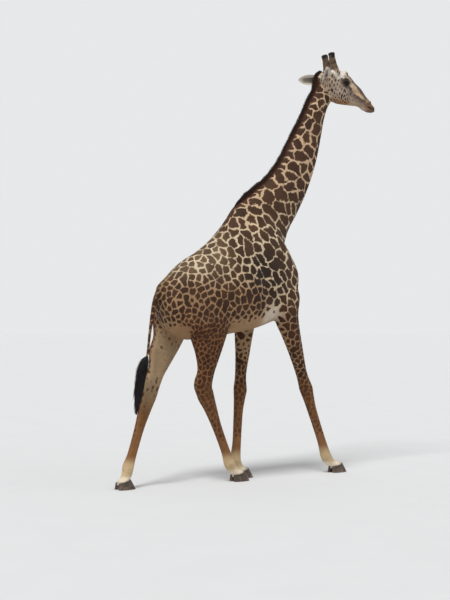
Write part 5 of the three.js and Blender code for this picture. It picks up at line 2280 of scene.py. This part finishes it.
@dataclass
class Mane:
    """The short upright mane from the withers to the poll: a dark core under many stiff locks."""

    hair: Hair
    height: float = 0.058
    seed: int = 120
    count: int = 15000
    rows: int = 16  # of locks on the bake map

    def crest(self) -> Array:
        """Find where the mane stands.

        Returns:
            The line of the crest.
        """
        names = list(TORSO)
        neck = [TORSO[k].back for k in names[names.index("withers") : names.index("throat") + 1]]
        head = HEAD.out(np.array([(s.back[0], 0.0, s.back[1]) for s in list(SKULL.values())[:2]]))
        return np.vstack([[(a, 0.0, b) for a, b in neck], head])

    def along(self, share: Array) -> tuple[Array, Array, Array, Array]:
        """Follow the mane.

        Args:
            share: Shares of its length.

        Returns:
            Its points there, the way along it, the way up and its height.
        """
        fine, place = through(self.crest(), 400), np.linspace(0, 1, 400)
        slope = np.gradient(fine, axis=0)
        point, line = (np.stack([np.interp(share, place, row[:, k]) for k in range(3)], -1)
                       for row in (fine, slope))
        line = unit(line)
        up = unit(np.stack([-line[:, 2], 0 * share, line[:, 0]], -1))
        rise = self.height * np.minimum(1, np.minimum(0.25 + 3.2 * share, 0.45 + 5 * (1 - share)))
        return point, line, up, rise

    def build(self) -> list[Piece]:
        """Build the mane.

        Returns:
            Its core and its locks.
        """
        share, sides = np.linspace(0.002, 0.998, 160), 20
        point, _, up, rise = self.along(share)
        core = rounds(point + up * (0.72 * rise)[:, None], point - up * 0.03, np.full(len(share), 0.011),
                      sides, egg=0.3)
        tip = np.append(np.tile(0.6 * smooth(-0.3, 1.0, np.cos(turns(sides))), len(share)), (0, 0))
        base = self.hair.core("mane_core", core, tip, -0.5)
        rng = np.random.default_rng(self.seed)
        count = self.count
        share = np.sort(rng.uniform(0, 1, count))
        point, line, up, rise = self.along(share)
        aside = rng.uniform(-1, 1, count)
        roots = point + Y_AXIS * (0.011 * aside)[:, None] - up * (0.01 * aside**2 + 0.002)[:, None]
        clump = Ripple(0.05, 121)(point) * 0.05 + Ripple(0.13, 122)(point) * 0.06
        long = (rise + 0.006) * (1.0 + clump + rng.uniform(-0.08, 0.03, count)) * (1 - 0.18 * np.abs(aside))
        lean = line * (rng.normal(-0.16, 0.12, count) - 0.3 * clump)[:, None]
        ways = unit(up + lean + Y_AXIS * (0.12 * aside + 0.04 * rng.normal(size=count))[:, None])
        bends = line * (rng.normal(-0.004, 0.004, count))[:, None] - Y_AXIS * (0.002 * aside)[:, None]
        row = np.floor(share * self.rows)
        places = np.stack([share * self.rows - row, (row + 0.5 + 0.4 * aside) / self.rows], -1)
        locks = Locks(roots, ways, bends, long, rng.uniform(0.0024, 0.004, count), 3)
        return [base, self.hair.build("mane_locks", locks, rng.uniform(-1, 1, count), places, "mane")]


@dataclass
class TailTuft:
    """The black tuft of the tail: long wavy locks that hang from the end of the dock."""

    hair: Hair
    seed: int = 130
    count: int = 2600
    grain: int = 200  # samples along the tuft

    def build(self) -> list[Piece]:
        """Build the tuft.

        Returns:
            Its slim core and the locks round it.
        """
        line, radii = np.array(TAIL.tuft), np.array(TAIL.tuft_radius)
        base = self.hair.core("tuft_core", rod_rings(line, radii * 0.62, 16, 24), 0.5, -0.8)
        rng = np.random.default_rng(self.seed)
        count = self.count
        fine, wide = through(line, self.grain), through(radii[:, None], self.grain)
        start = rng.beta(0.8, 1.5, count) * 0.78
        turn = rng.uniform(0, ROUND, count)[:, None]
        out = np.array([0.96, 0.0, -0.18]) * np.cos(turn) + Y_AXIS * np.sin(turn)
        first = (start * (self.grain - 1)).astype(int)
        roots = fine[first] + out * wide[first] * rng.uniform(0.25, 0.75, count)[:, None]
        last = (np.minimum(start + rng.uniform(0.18, 0.42, count), 1.0) * (self.grain - 1)).astype(int)
        tips = fine[last] + out * wide[last] * rng.uniform(0.3, 1.08, count)[:, None]
        tips = tips + 0.008 * rng.normal(size=(count, 3)) * (1, 1, 0)
        swell = out * (0.01 * rng.uniform(-1, 1, count))[:, None] + rng.normal(size=(count, 3)) * 0.006
        run = tips - roots - swell
        long = np.linalg.norm(run, axis=1)
        locks = Locks(roots, run / long[:, None], swell, long, rng.uniform(0.0035, 0.0065, count), 6)
        places = np.stack([turn[:, 0] / ROUND, start], -1)
        return [base, self.hair.build("tuft_locks", locks, rng.uniform(-1, 1, count), places, "tail_tuft")]


# ---- studio
@dataclass(frozen=True)
class Lamp:
    """A far soft lamp: the way towards it, how strong it is, and how wide it looks."""

    name: str
    towards: Point
    strength: float
    wide: float = math.radians(18)

    def hang(self) -> None:
        """Add the lamp to the scene."""
        data = bpy.data.lights.new(self.name, "SUN")
        data.energy, data.angle = self.strength, self.wide
        lamp = bpy.data.objects.new(self.name, data)
        lamp.rotation_euler = Vector(self.towards).to_track_quat("Z", "Y").to_euler()
        bpy.context.collection.objects.link(lamp)


@dataclass(frozen=True)
class Studio:
    """A plain pale floor, soft lamps and the camera."""

    eye: Point = (-8.23, -11.647, 2.03)
    look: Point = (0.559, 0.829, 0.0)
    lens: float = 75.0
    reach: float = 60.0
    floor: tuple[float, float, float, float] = (0.655, 0.66, 0.665, 1.0)
    shown: tuple[float, float, float, float] = (0.8, 0.81, 0.82, 1.0)
    ambient: float = 0.5
    lamps: tuple[Lamp, ...] = (
        Lamp("key", (-0.434, -0.25, 0.866), 2.3),
        Lamp("fill", (0.75, -0.55, 0.45), 0.5, math.radians(60)),
    )

    def build(self) -> None:
        """Build floor, lamps, world and camera."""
        s = Shader("studio_floor")
        s.bumped(s.noise(90.0, 2.0), 0.0004, 0.3)
        finish = s.finish(s.shaded(self.floor, s.ranged(s.noise(2.0, 3.0), 0.3, 0.7, 0.985, 1.0)), 0.9)
        sides, below = 96, -0.001
        turn = turns(sides)
        disc = np.stack([self.reach * np.cos(turn), self.reach * np.sin(turn), 0 * turn + below], -1)
        fan = np.array([(k, (k + 1) % sides, sides) for k in range(sides)])
        make_object("floor", Shell(np.vstack([disc, below * Z_AXIS]), tris=fan), finish)
        for lamp in self.lamps:
            lamp.hang()
        self.world()
        camera = bpy.data.objects.new("camera", bpy.data.cameras.new("camera"))
        camera.data.lens, camera.data.clip_end = self.lens, 200
        camera.location = self.eye
        camera.rotation_euler = Vector(self.look).to_track_quat("-Z", "Y").to_euler()
        bpy.context.collection.objects.link(camera)
        bpy.context.scene.camera = camera
        bpy.context.scene.view_settings.view_transform = "Standard"

    def world(self) -> None:
        """Light the world evenly, and show it pale to the camera and in what mirrors it."""
        world = bpy.data.worlds.new("studio")
        bpy.context.scene.world = world
        world.use_nodes = True
        tree = world.node_tree
        light, shown = tree.nodes["Background"], tree.nodes.new("ShaderNodeBackground")
        light.inputs["Color"].default_value = (1.0, 1.0, 1.0, 1.0)
        light.inputs["Strength"].default_value = self.ambient
        shown.inputs["Color"].default_value = self.shown
        path, blend = tree.nodes.new("ShaderNodeLightPath"), tree.nodes.new("ShaderNodeMixShader")
        seen = path.outputs["Is Camera Ray"]
        for ray in ("Is Glossy Ray", "Is Transmission Ray"):
            either = tree.nodes.new("ShaderNodeMath")
            either.operation = "MAXIMUM"
            tree.links.new(seen, either.inputs[0])
            tree.links.new(path.outputs[ray], either.inputs[1])
            seen = either.outputs[0]
        for given, taken in ((seen, 0), (light.outputs[0], 1), (shown.outputs[0], 2)):
            tree.links.new(given, blend.inputs[taken])
        tree.links.new(blend.outputs[0], tree.nodes["World Output"].inputs["Surface"])


def main() -> None:
    """Build the giraffe and its studio, and report each piece."""
    skin = Skin()
    skin.build()
    log.info("skin: %d points", len(skin.points))
    marks = Markings(skin)
    marks.paint()
    body = Body(skin, marks, CoatFinish().material())
    dark = HairFinish("mane_hair", (84, 52, 37), (38, 25, 20), (0.35, 0.85)).material()
    black = HairFinish("tuft_hair", (22, 20, 20), (34, 30, 28)).material()
    pale = HairFinish("pale_hair", (214, 204, 186), (236, 228, 214), spread=0.12).material()
    horn = HairFinish("horn_hair", (58, 46, 38), (74, 60, 48), spread=0.45).material()
    made = [body.build()]
    made += Eyes(body, EyeFinish().material(), Hair(dark, "mane_hair")).build()
    made += Ears(EarFinish().material(), Hair(pale, "ear_hair")).build()
    made += Ossicones(HornFinish().material(), Hair(horn, "horn")).build()
    made += Hooves(HoofFinish().material(), Hair(pale, "coat")).build()
    made += Mane(Hair(dark, "mane_hair")).build()
    made += TailTuft(Hair(black, "tuft_hair")).build()
    made += Coat(body).build()
    for piece in made:
        log.info("%s: %d faces", piece.name, len(piece.data.polygons))
    Studio().build()


if __name__ == "__main__":
    main()
